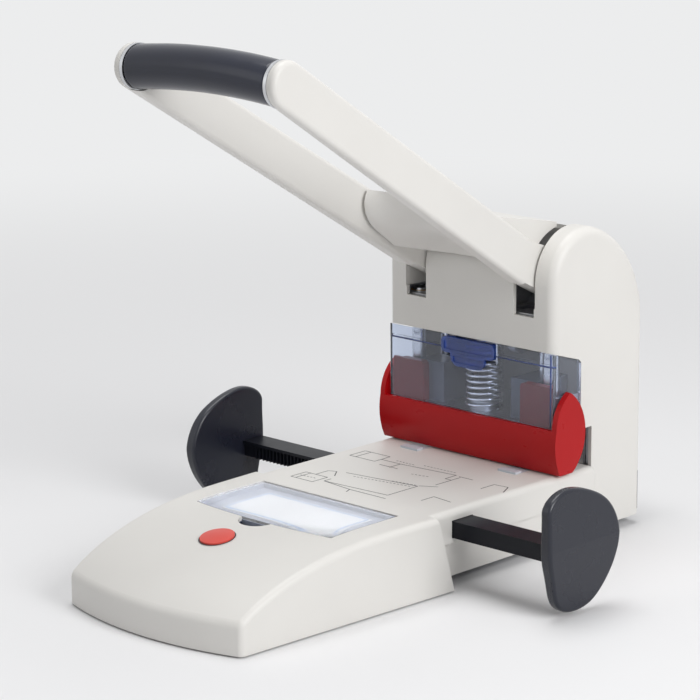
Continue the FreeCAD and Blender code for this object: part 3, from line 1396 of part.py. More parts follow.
def make_bail():
    """Red guard bail: a bar across the throat with a leaf-shaped ear at each end."""
    half = s.bail_width / 2
    top, bottom, thick = s.bail_top, s.bail_bottom, s.bail_thickness
    front = s.seat_gap - thick
    belly = front - thick / 4
    mid = (top + bottom) / 2
    tuck = s.bail_tuck
    bar = Part.Wire([
        Part.Arc(at(front, top), at(belly, mid), at(front + tuck, bottom)).toShape(),
        Part.makeLine(at(front + tuck, bottom), at(front + tuck + thick, bottom)),
        Part.Arc(at(front + tuck + thick, bottom), at(belly + thick, mid), at(front + thick, top)).toShape(),
        Part.makeLine(at(front + thick, top), at(front, top)),
    ])
    front_share, tip_share, back_share, foot_share = EAR_SHARES
    deep = s.cover_depth
    tip = at(deep * tip_share, s.bail_pivot_height + s.bail_ear_rise)
    neck = at(deep * front_share, s.bail_pivot_height + 2 * s.bail_pin_radius)
    foot = at(deep * foot_share, bottom)
    ear = Part.Wire([
        Part.Arc(at(front, top), neck, tip).toShape(),
        Part.Arc(tip, at(deep * back_share, (top + mid) / 2), foot).toShape(),
        Part.makeLine(foot, at(front + tuck, bottom)),
        Part.Arc(at(front + tuck, bottom), at(belly, mid), at(front, top)).toShape(),
    ])
    bail = slab(bar, (-half, half)).fuse(both(slab(ear, (half - s.bail_ear_thickness, half))))
    bore = drum(
        s.bail_pin_radius + s.running_fit,
        (s.bail_pin_cover - half, half - s.bail_pin_cover),
        s.bail_pivot_behind,
        s.bail_pivot_height,
    )
    feature("guard_bail", bail.cut(bore).removeSplitter())
    pins = []
    place = {"y": "bail_pivot_behind", "z": "bail_pivot_height"}
    outer = "(bail_width / 2 - bail_pin_cover - seat_gap)"
    pins.append(rod("x", "bail_pin_radius", FRAME_INNER_TEXT, outer, **place))
    pins.append(rod("x", "bail_pin_radius", f"-{outer}", f"-{FRAME_INNER_TEXT}", **place))
    keep(group(*pins), "bail_pins")


def make_clear_cover():
    """Clear cover in front of the punch pins, and the blue latch in its upper edge."""
    foot = THROAT_TOP + s.side_gap
    side_wall = polygon([
        at(0, foot),
        at(s.cover_depth, foot),
        at(s.cover_depth, s.cover_shoulder - s.cover_wall),
        at(s.cover_depth - s.cover_wall, s.cover_shoulder),
        at(0, s.cover_top),
    ])
    outer = slab(side_wall, (-TOWER_HALF, TOWER_HALF))

    def front_edge(edge):
        box = edge.BoundBox
        upright = box.ZLength > s.wall
        return upright and box.YMax < s.panel_y + s.seat_gap

    outer = round_edges(outer, s.cover_edge_radius, front_edge)
    half = TOWER_HALF - s.cover_wall
    cover = outer.cut(
        box_between((-half, half), (s.cover_wall, s.tower_depth), (0, s.cheek_top))
    )
    rib_top = s.cover_shoulder + s.seat_gap
    rib = box_between((-half, half), (s.cover_wall, s.cover_wall * 1.5), (rib_top - s.cover_wall / 2, rib_top))
    cover = cover.fuse(rib)
    room = s.latch_half_width + s.seat_gap
    depth = s.cover_wall * 2
    notch = box_between((-room, room), (-s.overrun, depth),
                        (s.latch_foot - s.latch_travel - s.seat_gap, s.cover_top + s.overrun))
    cover = cover.cut(notch)
    pivot = drum(s.bail_pin_radius + s.seat_gap, (-TABLE_HALF, TABLE_HALF), s.bail_pivot_behind,
                 s.bail_pivot_height)
    cover = cover.cut(pivot)
    feature("clear_cover", cover.removeSplitter())
    make_latch(depth / 2)


def make_latch(back):
    """Blue latch: an upper bar with a sunk window and a thumb lip with a raised rim."""
    front = -s.latch_proud
    sunk = -s.latch_proud / 2
    rim = s.latch_rim
    high = s.cover_top - s.cover_wall / 2
    half, lip_half = s.latch_half_width, s.latch_lip_half_width

    def corner(edge):
        box = edge.BoundBox
        return box.YLength > s.seat_gap and box.XLength + box.ZLength < s.seat_gap

    def lip_corner(edge):
        return corner(edge) and edge.BoundBox.ZMax < s.latch_foot

    body = round_edges(box_between((-half, half), (front, back), (s.latch_foot, high)),
                       s.latch_corner, corner)
    lip = box_between((-lip_half, lip_half), (front, -s.seat_gap), (s.latch_lip_foot, high - rim))
    lip = round_edges(lip, 2 * s.latch_corner, lip_corner)
    window = round_edges(
        box_between((rim - half, half - rim), (front - s.overrun, sunk), (s.latch_foot + rim, high - rim)),
        s.latch_corner / 2, corner
    )
    dish = round_edges(
        box_between((rim - lip_half, lip_half - rim), (front - s.overrun, sunk),
                    (s.latch_lip_foot + rim, s.latch_foot - rim / 2)),
        s.latch_corner / 2, corner
    )
    feature("cover_latch", body.fuse(lip).cut([window, dish]).removeSplitter())


def tooth(pitch_place, half_width_foot, half_width_tip, addendum, dedendum):
    """One trapezoid tooth that points along +Y from a pitch line at the origin."""
    return [
        Vector(pitch_place - half_width_foot, -dedendum, 0),
        Vector(pitch_place - half_width_tip, addendum, 0),
        Vector(pitch_place + half_width_tip, addendum, 0),
        Vector(pitch_place + half_width_foot, -dedendum, 0),
    ]


TOOTH_TIP_SHARE = 0.26
TOOTH_FOOT_SHARE = 0.66
ADDENDUM_SHARE = 0.7
DEDENDUM_SHARE = 0.95


def rack_bar(inner_end, outer_end):
    """A rail along X, its teeth pointing to +Y at the pitch line y = 0, a tooth space at x = 0."""
    step = math.pi * s.tooth_module
    dedendum = DEDENDUM_SHARE * s.tooth_module
    addendum = ADDENDUM_SHARE * s.tooth_module
    points = [Vector(outer_end, -dedendum, 0), Vector(outer_end, -s.rail_depth, 0),
              Vector(inner_end, -s.rail_depth, 0), Vector(inner_end, -dedendum, 0)]
    first = math.ceil((inner_end + step) / step)
    last = math.floor((outer_end - s.stop_thickness - step) / step)
    for index in range(first, last):
        place = (index + 0.5) * step
        points += tooth(place, TOOTH_FOOT_SHARE * s.tooth_module, TOOTH_TIP_SHARE * s.tooth_module,
                        addendum, dedendum)
    top = s.rail_bottom + s.rail_height
    toothed = raised(polygon(points), s.rail_bottom, top - s.rail_flange)
    flange = Part.makeBox(
        outer_end - inner_end,
        s.rail_depth + addendum,
        s.rail_flange,
        Vector(inner_end, -s.rail_depth, top - s.rail_flange),
    )
    return toothed.fuse(flange).removeSplitter()


# Outline of a side stop seen from its outer face, as shares of its radius, going round from the
# flat front edge over the foot and the back to the top
STOP_SHARES = (
    (-0.751, 0.714), (-0.755, 0.343), (-0.751, -0.029), (-0.649, -0.46), (-0.526, -0.82),
    (-0.343, -0.96), (-0.029, -1.014), (0.343, -0.94), (0.634, -0.72), (0.86, -0.42),
    (1, 0.137), (0.93, 0.4), (0.734, 0.68), (0.42, 0.88), (0.057, 1.006), (-0.309, 1.04),
    (-0.549, 0.97), (-0.694, 0.86),
)


def stop_plate(behind):
    """Right side stop: a rounded plate with a ridge across its outer face."""
    places = [
        at(behind + along * s.stop_radius, s.stop_centre_height + up * s.stop_radius, s.sheet_stop)
        for along, up in STOP_SHARES
    ]
    rim = Part.BSplineCurve()
    rim.interpolate(places, PeriodicFlag=True)
    thick = s.stop_thickness + s.stop_ridge
    disc = Part.Face(Part.Wire([rim.toShape()])).extrude(Vector(thick, 0, 0))
    low, high = sorted((disc.BoundBox.ZMin - s.overrun, disc.BoundBox.ZMax + s.overrun))
    outer = s.sheet_stop + thick
    faces = polygon([
        Vector(s.sheet_stop + s.stop_thickness, 0, low),
        Vector(outer, 0, s.stop_ridge_height),
        Vector(s.sheet_stop + s.stop_thickness, 0, high),
        Vector(outer + s.overrun, 0, high),
        Vector(outer + s.overrun, 0, low),
    ])
    wedge = Part.Face(faces)
    wedge.translate(at(behind - 2 * s.stop_radius, 0))
    disc = disc.cut(wedge.extrude(Vector(0, 4 * s.stop_radius, 0)))

    def rim_edge(edge):
        box = edge.BoundBox
        return box.XLength < box.YLength + box.ZLength and not ridge_edge(edge)

    def ridge_edge(edge):
        return edge.BoundBox.ZLength < s.seat_gap

    return round_edges(disc, s.stop_edge_radius, rim_edge)


def make_side_stops():
    """Rails with their racks, the pinion between them, and the round stop plates."""
    pitch_radius = s.tooth_module * s.pinion_teeth / 2
    rail = rack_bar(-s.rail_inner_end, s.sheet_stop)
    rail.translate(at(-s.pinion_before - pitch_radius, 0))
    axis = at(-s.pinion_before, 0)
    opposite = rail.copy()
    opposite.rotate(axis, Vector(0, 0, 1), 180)
    feature("right_stop_rail", rail)
    feature("left_stop_rail", opposite)
    centres = {name: sum(places) / 2 for name, places in rail_places().items()}
    feature("right_stop", stop_plate(centres["right"] + s.right_stop_shift))
    other = stop_plate(centres["left"] - s.left_stop_shift)
    other.rotate(at(centres["left"] - s.left_stop_shift, 0), Vector(0, 0, 1), 180)
    feature("left_stop", other)
    step = 2 * math.pi / s.pinion_teeth
    root = pitch_radius - DEDENDUM_SHARE * s.tooth_module
    tip = pitch_radius + ADDENDUM_SHARE * s.tooth_module
    foot_half = TOOTH_FOOT_SHARE * s.tooth_module / pitch_radius
    tip_half = TOOTH_TIP_SHARE * s.tooth_module / pitch_radius
    points = []
    for index in range(int(s.pinion_teeth)):
        middle = index * step + math.pi / 2
        for angle, radius in ((-foot_half, root), (-tip_half, tip), (tip_half, tip), (foot_half, root)):
            points.append(axis + Vector(math.cos(middle + angle), math.sin(middle + angle), 0) * radius)
    gear_top = s.rail_bottom + s.rail_height - s.rail_flange - s.seat_gap
    gear = raised(polygon(points), s.rail_bottom, gear_top)
    gear = gear.cut(post(s.pinion_pin_radius + s.running_fit, 0, -s.pinion_before,
                         s.rail_bottom - s.overrun, s.table_height))
    feature("stop_pinion", gear)


def make_rail_guide():
    """Guide under the table that holds both rails, and the pin of the pinion."""
    floor_low = "rail_bottom - rail_guide_wall"
    floor_high = "rail_bottom - seat_gap"
    half = f"({SHELL_HALF_TEXT} - seat_gap)"
    reach = "(tooth_module * pinion_teeth / 2 + rail_depth + seat_gap)"
    front = f"-pinion_before - {reach}"
    back = f"-pinion_before + {reach}"
    floor = block((f"-{half}", half), (f"{front} - rail_guide_wall", f"{back} + rail_guide_wall"),
                  (floor_low, floor_high))
    top = "table_height - wall"
    walls = [
        block((f"-{half}", half), (f"{front} - rail_guide_wall", front), (floor_low, top)),
        block((f"-{half}", half), (back, f"{back} + rail_guide_wall"), (floor_low, top)),
    ]
    legs = []
    for _, side in SIDES:
        for sign in ("-", "+"):
            place = {"x": f"{side} * boss_side", "y": f"-pinion_before {sign} guide_leg_reach"}
            leg = rod("z", "boss_radius", f"{PLATE_TOP_TEXT} + seat_gap", floor_low, **place)
            pilot = rod("z", "screw_radius", PLATE_TOP_TEXT, f"{PLATE_TOP_TEXT} + screw_length", **place)
            legs.append(cut(leg, pilot))
    keep(fuse(floor, *walls, *legs), "rail_guide")
    pin = rod("z", "pinion_pin_radius", floor_high, top, x="0", y="-pinion_before")
    keep(pin, "pinion_pin")


def well_form(grow, low, high, back_reach=0):
    """The half-moon room of the finger well in front of the lid, grown all round.

    Its straight side is the front of the lid, or lies further back by the back reach.
    """
    front = -s.lid_front - s.lid_bulge - s.seat_gap
    centre = front - s.well_length + s.well_radius
    room = post(s.well_radius + grow, 0, centre, low, high)
    before = box_between((-TABLE_HALF, TABLE_HALF), (-s.nose_reach, front + back_reach), (low, high))
    return room.common(before)


def make_finger_well():
    """Shallow cup under the half-moon opening in front of the lid."""
    cup = well_form(s.well_wall, s.well_foot, s.table_height).common(nose_form(s.wall + s.seat_gap))
    room = well_form(0, s.well_foot + s.well_wall, s.table_height)
    feature("finger_well", cup.cut(room).removeSplitter())


def make_label_lid():
    """Clear lid, the shallow tray under it and its blank card."""
    top = s.table_height
    half = s.lid_thickness / 2
    hinge = (-s.lid_back - half, top - half)
    lid = raised(lid_outline(0), top - s.lid_thickness, top)
    behind_hinge = box_between(
        (-TABLE_HALF, TABLE_HALF), (hinge[0], 0), (top - 2 * s.lid_thickness, top + s.lid_thickness)
    )
    knuckle = drum(half, (-s.lid_half_width, s.lid_half_width), *hinge)
    pins = both(drum(s.lid_pin_radius, (s.lid_half_width - s.wall, s.lid_half_width + s.lid_pin_length), *hinge))
    lid = lid.cut(behind_hinge).fuse([knuckle] + pins)
    feature("label_lid", lid.common(base_form(0)).removeSplitter())
    rim_top = top - s.lid_thickness - s.seat_gap
    well_top = rim_top
    outer = raised(lid_outline(-s.seat_gap), rim_top - s.tray_height, rim_top)
    well = raised(lid_outline(-s.tray_wall - s.seat_gap), rim_top - s.tray_height + s.tray_floor,
                  well_top + s.overrun)
    feature("label_tray", outer.cut(well))
    floor = "(table_height - lid_thickness - seat_gap - tray_height + tray_floor)"
    middle = "-(lid_front + lid_back) / 2"
    card = block(("-card_half_width", "card_half_width"),
                 (f"{middle} - card_depth / 2", f"{middle} + card_depth / 2"),
                 (floor, f"{floor} + card_thickness"))
    keep(card, "label_card")


def make_button():
    """Red push button on the slope, with its flange, spring and socket."""
    skin = s.wall + s.seat_gap
    flange_top = -skin
    flange_foot = flange_top - s.button_flange
    radius = s.button_radius
    cap = Part.makeCylinder(radius, s.button_proud - flange_top, Vector(0, 0, flange_top))
    sphere_radius = (radius ** 2 + s.button_dome ** 2) / (2 * s.button_dome)
    dome = Part.makeSphere(sphere_radius, Vector(0, 0, s.button_proud + s.button_dome - sphere_radius))
    dome_room = Part.makeCylinder(radius, s.button_dome, Vector(0, 0, s.button_proud))
    flange = Part.makeCylinder(radius + s.wall / 2, s.button_flange, Vector(0, 0, flange_foot))
    button = cap.fuse([flange, dome.common(dome_room)]).removeSplitter()
    feature("red_button", on_slope(button))
    inner = radius + s.wall / 2 + s.seat_gap
    height = s.socket_depth - skin - s.seat_gap
    cup = Part.makeCylinder(inner + s.wall / 2, height, Vector(0, 0, -s.socket_depth))
    floor = s.wall / 2
    room = Part.makeCylinder(inner, s.socket_depth, Vector(0, 0, -s.socket_depth + floor))
    feature("button_socket", on_slope(cup.cut(room)))
    spring = coil("button_spring", s.button_spring_radius, s.button_spring_wire,
                  -s.socket_depth + floor, flange_foot, s.button_spring_turns)
    feature("button_spring", on_slope(spring))


def make_chip_tray():
    """Chip tray under the dies, drawn out at the back by its door."""
    low = f"{PLATE_TOP_TEXT} + seat_gap"
    half = "chip_tray_half_width"
    back = "tower_depth - wall"
    solid = block((f"-{half}", half), ("-chip_tray_before", back), (low, "chip_tray_top"))
    inner = block((f"-{half} + chip_tray_wall", f"{half} - chip_tray_wall"),
                  ("-chip_tray_before + chip_tray_wall", f"{back} - chip_tray_wall"),
                  (f"{low} + chip_tray_wall", "chip_tray_top + overrun"))
    door_half = f"({SHELL_HALF_TEXT} - seat_gap)"
    door = block((f"-{door_half}", door_half), (back, "tower_depth"), (low, "chip_door_top"))
    finger = rod("y", "finger_hole_radius", f"{back} - overrun", "tower_depth + overrun",
                 x="0", z="chip_door_top")
    keep(cut(fuse(cut(solid, inner), door), finger), "chip_tray")


make_base()
make_base_shell()
make_tower_shell()
make_rear_cover()
make_frames()
make_axle()
make_lever()
make_drive()
make_carriage()
make_guides()
make_return_spring()
make_throat()
make_bail()
make_clear_cover()
make_side_stops()
make_rail_guide()
make_label_lid()
make_finger_well()
make_button()
make_chip_tray()
make_screws()

doc.recompute()
for item in doc.Objects:
    states = getattr(item, "State", [])
    if "Invalid" in states or "Error" in states:
        raise RuntimeError(f"{item.Label} failed: {states}")
names = [piece.Label for piece in PIECES]
if len(set(names)) != len(names) or len(names) > 60:
    raise RuntimeError(f"names repeat or are too many: {len(names)}")
for piece in PIECES:
    if piece.Shape.isNull() or not piece.Shape.isValid() or not piece.Shape.Solids:
        raise RuntimeError(f"{piece.Label} has no sound shape")
for piece in PIECES:
    piece.Shape.exportStep(f"parts/{piece.Label}.step")
print(len(PIECES), "pieces written")
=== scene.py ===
"""Looks of a heavy-duty lever hole punch: finishes for its frame, and pieces drawn over it."""

import json
import math

import bmesh
import bpy
import numpy as np
from mathutils import Matrix, Vector


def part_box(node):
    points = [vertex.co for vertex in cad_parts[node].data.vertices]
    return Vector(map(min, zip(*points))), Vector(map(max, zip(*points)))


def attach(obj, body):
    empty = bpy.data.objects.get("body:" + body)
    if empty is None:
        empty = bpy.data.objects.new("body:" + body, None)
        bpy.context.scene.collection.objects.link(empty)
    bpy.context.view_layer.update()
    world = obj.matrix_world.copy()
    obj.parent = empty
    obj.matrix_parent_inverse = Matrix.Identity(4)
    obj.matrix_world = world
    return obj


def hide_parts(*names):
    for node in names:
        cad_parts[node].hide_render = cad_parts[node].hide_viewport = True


bl_info = {
    "name": "Lever hole punch looks",
    "version": (1, 0, 0),
    "blender": (4, 5, 0),
    "location": "3D View > Sidebar > Hole Punch",
    "description": "Finishes and drawn pieces of a heavy-duty lever hole punch",
    "category": "Object",
}

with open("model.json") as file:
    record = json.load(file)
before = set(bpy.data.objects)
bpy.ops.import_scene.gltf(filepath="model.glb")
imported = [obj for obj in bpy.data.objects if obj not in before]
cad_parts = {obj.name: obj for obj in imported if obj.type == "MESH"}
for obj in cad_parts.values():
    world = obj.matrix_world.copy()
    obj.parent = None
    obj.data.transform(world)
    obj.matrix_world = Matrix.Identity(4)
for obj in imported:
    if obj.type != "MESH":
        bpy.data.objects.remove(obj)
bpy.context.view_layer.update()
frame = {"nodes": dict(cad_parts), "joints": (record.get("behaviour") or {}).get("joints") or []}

MM = 0.001
WHITE = (1.0, 1.0, 1.0)


# Settings that a user can change


class PunchSizes(bpy.types.PropertyGroup):
    """Sizes of the drawn pieces."""

    grip_rise: bpy.props.FloatProperty(
        name="Grip rise", description="How far the grip rises in its middle",
        default=3.0 * MM, min=0.0, unit="LENGTH")
    grip_depth: bpy.props.FloatProperty(
        name="Grip depth", description="Half the grip along the lever arm",
        default=13.1 * MM, min=0.001, unit="LENGTH")
    grip_height: bpy.props.FloatProperty(
        name="Grip height", description="Half the grip across the lever arm",
        default=12.6 * MM, min=0.001, unit="LENGTH")
    ridge_radius: bpy.props.FloatProperty(
        name="Ridge", description="Half the thickness of the ridge on the clear cover",
        default=0.55 * MM, min=0.0001, unit="LENGTH")
    ridge_drop: bpy.props.FloatProperty(
        name="Ridge drop", description="Ridge below the top of the clear cover",
        default=8.0 * MM, min=0.0, unit="LENGTH")
    ridge_inset: bpy.props.FloatProperty(
        name="Ridge inset", description="Ends of the ridge from the sides of the clear cover",
        default=2.6 * MM, min=0.0, unit="LENGTH")
    ridge_return: bpy.props.FloatProperty(
        name="Ridge return", description="Length of the ridge round the corner of the clear cover",
        default=2.2 * MM, min=0.0, unit="LENGTH")
    rim_radius: bpy.props.FloatProperty(
        name="Rim radius", description="Inner radius of the dark rim of the button",
        default=10.05 * MM, min=0.001, unit="LENGTH")
    rim_width: bpy.props.FloatProperty(
        name="Rim width", description="Width of the dark rim of the button",
        default=0.7 * MM, min=0.0001, unit="LENGTH")
    rim_rise: bpy.props.FloatProperty(
        name="Rim rise",
        description="Rim along the button's axis from the middle of the button's box",
        default=2.02 * MM, unit="LENGTH")
    rim_shift: bpy.props.FloatProperty(
        name="Rim shift", description="Rim down the slope from the middle of the button's box",
        default=0.44 * MM, unit="LENGTH")
    print_width: bpy.props.FloatProperty(
        name="Printed line", description="Width of the lines printed on the table",
        default=0.65 * MM, min=0.0001, unit="LENGTH")
    print_lift: bpy.props.FloatProperty(
        name="Print lift", description="Height of printed lines above what they are on",
        default=0.04 * MM, min=0.00001, unit="LENGTH")


class PunchColours(bpy.types.PropertyGroup):
    """Colours of the finishes."""

    shell: bpy.props.FloatVectorProperty(
        name="Shell", description="Light grey moulded shells and lever",
        default=(0.735, 0.72, 0.69), size=3, subtype="COLOR", min=0.0, max=1.0)
    navy: bpy.props.FloatVectorProperty(
        name="Navy", description="Round side stops",
        default=(0.012, 0.014, 0.024), size=3, subtype="COLOR", min=0.0, max=1.0)
    grip: bpy.props.FloatVectorProperty(
        name="Grip", description="Soft sleeve of the lever",
        default=(0.006, 0.009, 0.024), size=3, subtype="COLOR", min=0.0, max=1.0)
    red: bpy.props.FloatVectorProperty(
        name="Red", description="Guard bail and pin releases",
        default=(0.42, 0.002, 0.004), size=3, subtype="COLOR", min=0.0, max=1.0)
    button: bpy.props.FloatVectorProperty(
        name="Button", description="Push button on the nose",
        default=(0.74, 0.09, 0.07), size=3, subtype="COLOR", min=0.0, max=1.0)
    cover: bpy.props.FloatVectorProperty(
        name="Cover tint", description="Clear cover in front of the pins",
        default=(0.83, 0.88, 1.0), size=3, subtype="COLOR", min=0.0, max=1.0)
    latch: bpy.props.FloatVectorProperty(
        name="Latch", description="Blue latch of the clear cover",
        default=(0.05, 0.14, 0.60), size=3, subtype="COLOR", min=0.0, max=1.0)
    print_ink: bpy.props.FloatVectorProperty(
        name="Ink", description="Lines printed on the table",
        default=(0.02, 0.02, 0.024), size=3, subtype="COLOR", min=0.0, max=1.0)
    card_ink: bpy.props.FloatVectorProperty(
        name="Card border", description="Border printed on the card",
        default=(0.22, 0.34, 0.55), size=3, subtype="COLOR", min=0.0, max=1.0)


def sizes():
    """The present sizes."""
    return bpy.context.scene.punch_sizes


def colours():
    """The present colours."""
    return bpy.context.scene.punch_colours


# Finishes


# A noise value lies mostly between these two
NOISE_LOW = 0.3
NOISE_HIGH = 0.7


class Finish:
    """A material under construction: nodes are added with short calls."""

    def __init__(self, name):
        self.material = bpy.data.materials.new(name)
        self.material.use_nodes = True
        self.tree = self.material.node_tree
        self.tree.nodes.clear()
        self.output = self.tree.nodes.new("ShaderNodeOutputMaterial")
        self.shader = self.tree.nodes.new("ShaderNodeBsdfPrincipled")
        self.link(self.shader.outputs["BSDF"], self.output.inputs["Surface"])
        self.places = self.tree.nodes.new("ShaderNodeTexCoord")

    def link(self, source, target):
        """Join an output to an input."""
        self.tree.links.new(source, target)

    def add(self, kind, **settings):
        """A new node with its settings."""
        node = self.tree.nodes.new(kind)
        for key, value in settings.items():
            setattr(node, key, value)
        return node

    def noise(self, scale, detail=2.0, stretch=(1.0, 1.0, 1.0)):
        """Noise over object coordinates stretched along the axes; scale is in waves a metre."""
        mapping = self.add("ShaderNodeMapping")
        mapping.inputs["Scale"].default_value = stretch
        self.link(self.places.outputs["Object"], mapping.inputs["Vector"])
        node = self.add("ShaderNodeTexNoise")
        node.inputs["Scale"].default_value = scale
        node.inputs["Detail"].default_value = detail
        self.link(mapping.outputs["Vector"], node.inputs["Vector"])
        return node.outputs["Fac"]

    def spread(self, value, low, high):
        """Map a noise value to a range."""
        node = self.add("ShaderNodeMapRange")
        node.inputs["From Min"].default_value = NOISE_LOW
        node.inputs["From Max"].default_value = NOISE_HIGH
        node.inputs["To Min"].default_value = low
        node.inputs["To Max"].default_value = high
        self.link(value, node.inputs["Value"])
        return node.outputs["Result"]

    def colour(self, value, first, second):
        """Base colour that runs from one colour to another with a noise value."""
        node = self.add("ShaderNodeMix", data_type="RGBA")
        node.inputs["A"].default_value = (*first, 1.0)
        node.inputs["B"].default_value = (*second, 1.0)
        self.link(self.spread(value, 0.0, 1.0), node.inputs["Factor"])
        self.drive("Base Color", node.outputs["Result"])

    def tones(self, value, colour, darker, lighter):
        """Base colour that varies between a darker and a lighter factor of a colour."""
        self.colour(value, shade(colour, darker), shade(colour, lighter))

    def sheen(self, value, low, high):
        """Roughness that varies between two values."""
        self.drive("Roughness", self.spread(value, low, high))

    def bump(self, height, strength, distance, before=None):
        """Fine relief: a height, its strength and its depth, on top of an earlier relief."""
        node = self.add("ShaderNodeBump")
        node.inputs["Strength"].default_value = strength
        node.inputs["Distance"].default_value = distance
        self.link(height, node.inputs["Height"])
        if before is not None:
            self.link(before, node.inputs["Normal"])
        self.drive("Normal", node.outputs["Normal"])
        return node.outputs["Normal"]

    def set(self, **values):
        """Constant values of the shader's own sockets."""
        for key, value in values.items():
            self.shader.inputs[key.replace("_", " ")].default_value = value

    def drive(self, socket, source):
        """Link a value to a socket of the shader."""
        self.link(source, self.shader.inputs[socket])

    def overlay(self, share, shader):
        """Mix another shader over the main one by a share."""
        mixer = self.add("ShaderNodeMixShader")
        self.link(share, mixer.inputs["Fac"])
        self.link(self.shader.outputs["BSDF"], mixer.inputs[1])
        self.link(shader, mixer.inputs[2])
        self.link(mixer.outputs["Shader"], self.output.inputs["Surface"])


def shade(colour, factor):
    """A colour made darker or lighter."""
    return tuple(min(1.0, channel * factor) for channel in colour[:3])


def moulded(name, colour, roughness=0.42, grain=2600.0, specular=0.5):
    """Moulded plastic: fine spark-eroded grain, faint cloudiness and uneven sheen."""
    finish = Finish(name)
    cloud = finish.noise(scale=9.0, detail=3.0)
    finish.tones(cloud, colour, darker=0.97, lighter=1.03)
    smudge = finish.noise(scale=38.0, detail=4.0)
    finish.sheen(smudge, roughness - 0.04, roughness + 0.05)
    wave = finish.noise(scale=26.0, detail=1.0)
    soft = finish.bump(wave, strength=0.25, distance=0.12 * MM)
    fine = finish.noise(scale=grain, detail=1.0)
    finish.bump(fine, strength=0.35, distance=0.02 * MM, before=soft)
    finish.set(IOR=1.5, Specular_IOR_Level=specular)
    return finish.material


def gloss_plastic(name, colour, roughness=0.3):
    """Polished plastic with a faint orange peel and fine handling marks."""
    finish = Finish(name)
    cloud = finish.noise(scale=14.0, detail=3.0)
    finish.tones(cloud, colour, darker=0.94, lighter=1.06)
    marks = finish.noise(scale=60.0, detail=5.0, stretch=(1.0, 3.0, 3.0))
    finish.sheen(marks, roughness - 0.03, roughness + 0.04)
    peel = finish.noise(scale=110.0, detail=1.0)
    finish.bump(peel, strength=0.15, distance=0.02 * MM)
    finish.set(IOR=1.42, Specular_IOR_Level=0.3)
    return finish.material


def soft_rubber(name, colour, roughness):
    """Soft-touch rubber or foam with a fine skin grain."""
    finish = Finish(name)
    cloud = finish.noise(scale=20.0, detail=3.0)
    finish.tones(cloud, colour, darker=0.8, lighter=1.25)
    smudge = finish.noise(scale=70.0, detail=3.0)
    finish.sheen(smudge, roughness - 0.05, roughness + 0.07)
    skin = finish.noise(scale=1800.0, detail=2.0)
    finish.bump(skin, strength=0.3, distance=0.03 * MM)
    return finish.material


def clear_plastic(name, tint, clearness, roughness=0.03):
    """Clear moulded plastic, partly milky, that lets light through to what it covers."""
    finish = Finish(name)
    finish.set(IOR=1.35, Transmission_Weight=clearness, Roughness=roughness)
    cloud = finish.noise(scale=22.0, detail=2.0)
    finish.tones(cloud, tint, darker=0.97, lighter=1.03)
    ripple = finish.noise(scale=34.0, detail=1.0)
    finish.bump(ripple, strength=0.2, distance=0.06 * MM)
    through = finish.add("ShaderNodeBsdfTransparent")
    through.inputs["Color"].default_value = (*shade(tint, 0.97), 1.0)
    path = finish.add("ShaderNodeLightPath")
    finish.overlay(path.outputs["Is Shadow Ray"], through.outputs["BSDF"])
    return finish.material


def tinted_plastic(name, colour, clearness):
    """Coloured plastic that is partly see-through."""
    finish = Finish(name)
    finish.set(IOR=1.46, Transmission_Weight=clearness, Roughness=0.12, Coat_Weight=0.4,
               Coat_Roughness=0.06)
    cloud = finish.noise(scale=30.0, detail=2.0)
    finish.tones(cloud, colour, darker=0.85, lighter=1.2)
    peel = finish.noise(scale=120.0, detail=1.0)
    finish.bump(peel, strength=0.2, distance=0.04 * MM)
    return finish.material


def steel(name, colour, roughness, brush=(1.0, 1.0, 30.0)):
    """Plated or ground metal with fine lines along one direction."""
    finish = Finish(name)
    finish.set(Metallic=1.0)
    lines = finish.noise(scale=420.0, detail=3.0, stretch=brush)
    finish.tones(lines, colour, darker=0.9, lighter=1.08)
    smudge = finish.noise(scale=60.0, detail=4.0)
    finish.sheen(smudge, roughness - 0.06, roughness + 0.08)
    finish.bump(lines, strength=0.2, distance=0.01 * MM)
    return finish.material


def printed(name, colour):
    """Screen-printed ink, a little uneven in strength."""
    finish = Finish(name)
    worn = finish.noise(scale=240.0, detail=4.0)
    finish.tones(worn, colour, darker=0.8, lighter=1.5)
    finish.sheen(finish.noise(scale=90.0), low=0.45, high=0.6)
    return finish.material


def paper(name, colour):
    """Coated card with a faint fibre pattern."""
    finish = Finish(name)
    fibre = finish.noise(scale=900.0, detail=4.0, stretch=(1.0, 3.0, 1.0))
    finish.tones(fibre, colour, darker=0.97, lighter=1.02)
    finish.sheen(finish.noise(scale=120.0), low=0.4, high=0.55)
    finish.bump(fibre, strength=0.15, distance=0.01 * MM)
    return finish.material


# Colours of the finishes that have no setting
RAIL = (0.005, 0.006, 0.010)
SILVER = (0.62, 0.63, 0.65)
LID = (0.95, 0.955, 0.965)
# Dark blue of the lines on the clear cover's ridge and upright edge: painted shade for the dark
# look of clear plastic at its edges
COVER_EDGE_SHADE = (0.03, 0.07, 0.28)
# The pin releases: a darker copy of the guard bail's red, as painted shade for their place inside
# the clear cover
RELEASE_SHADED = (0.20, 0.005, 0.012)
PLATED = (0.55, 0.56, 0.58)
GROUND = (0.70, 0.71, 0.73)
SPRING = (0.80, 0.81, 0.84)
BRONZE = (0.55, 0.36, 0.16)
TONGUE = (0.60, 0.64, 0.70)
TRAY = (0.34, 0.37, 0.46)
BLOCK = (0.10, 0.115, 0.15)
DARK = (0.02, 0.021, 0.026)
WELL = (0.012, 0.02, 0.055)
RUBBER = (0.02, 0.02, 0.02)
CARD = (0.70, 0.71, 0.73)


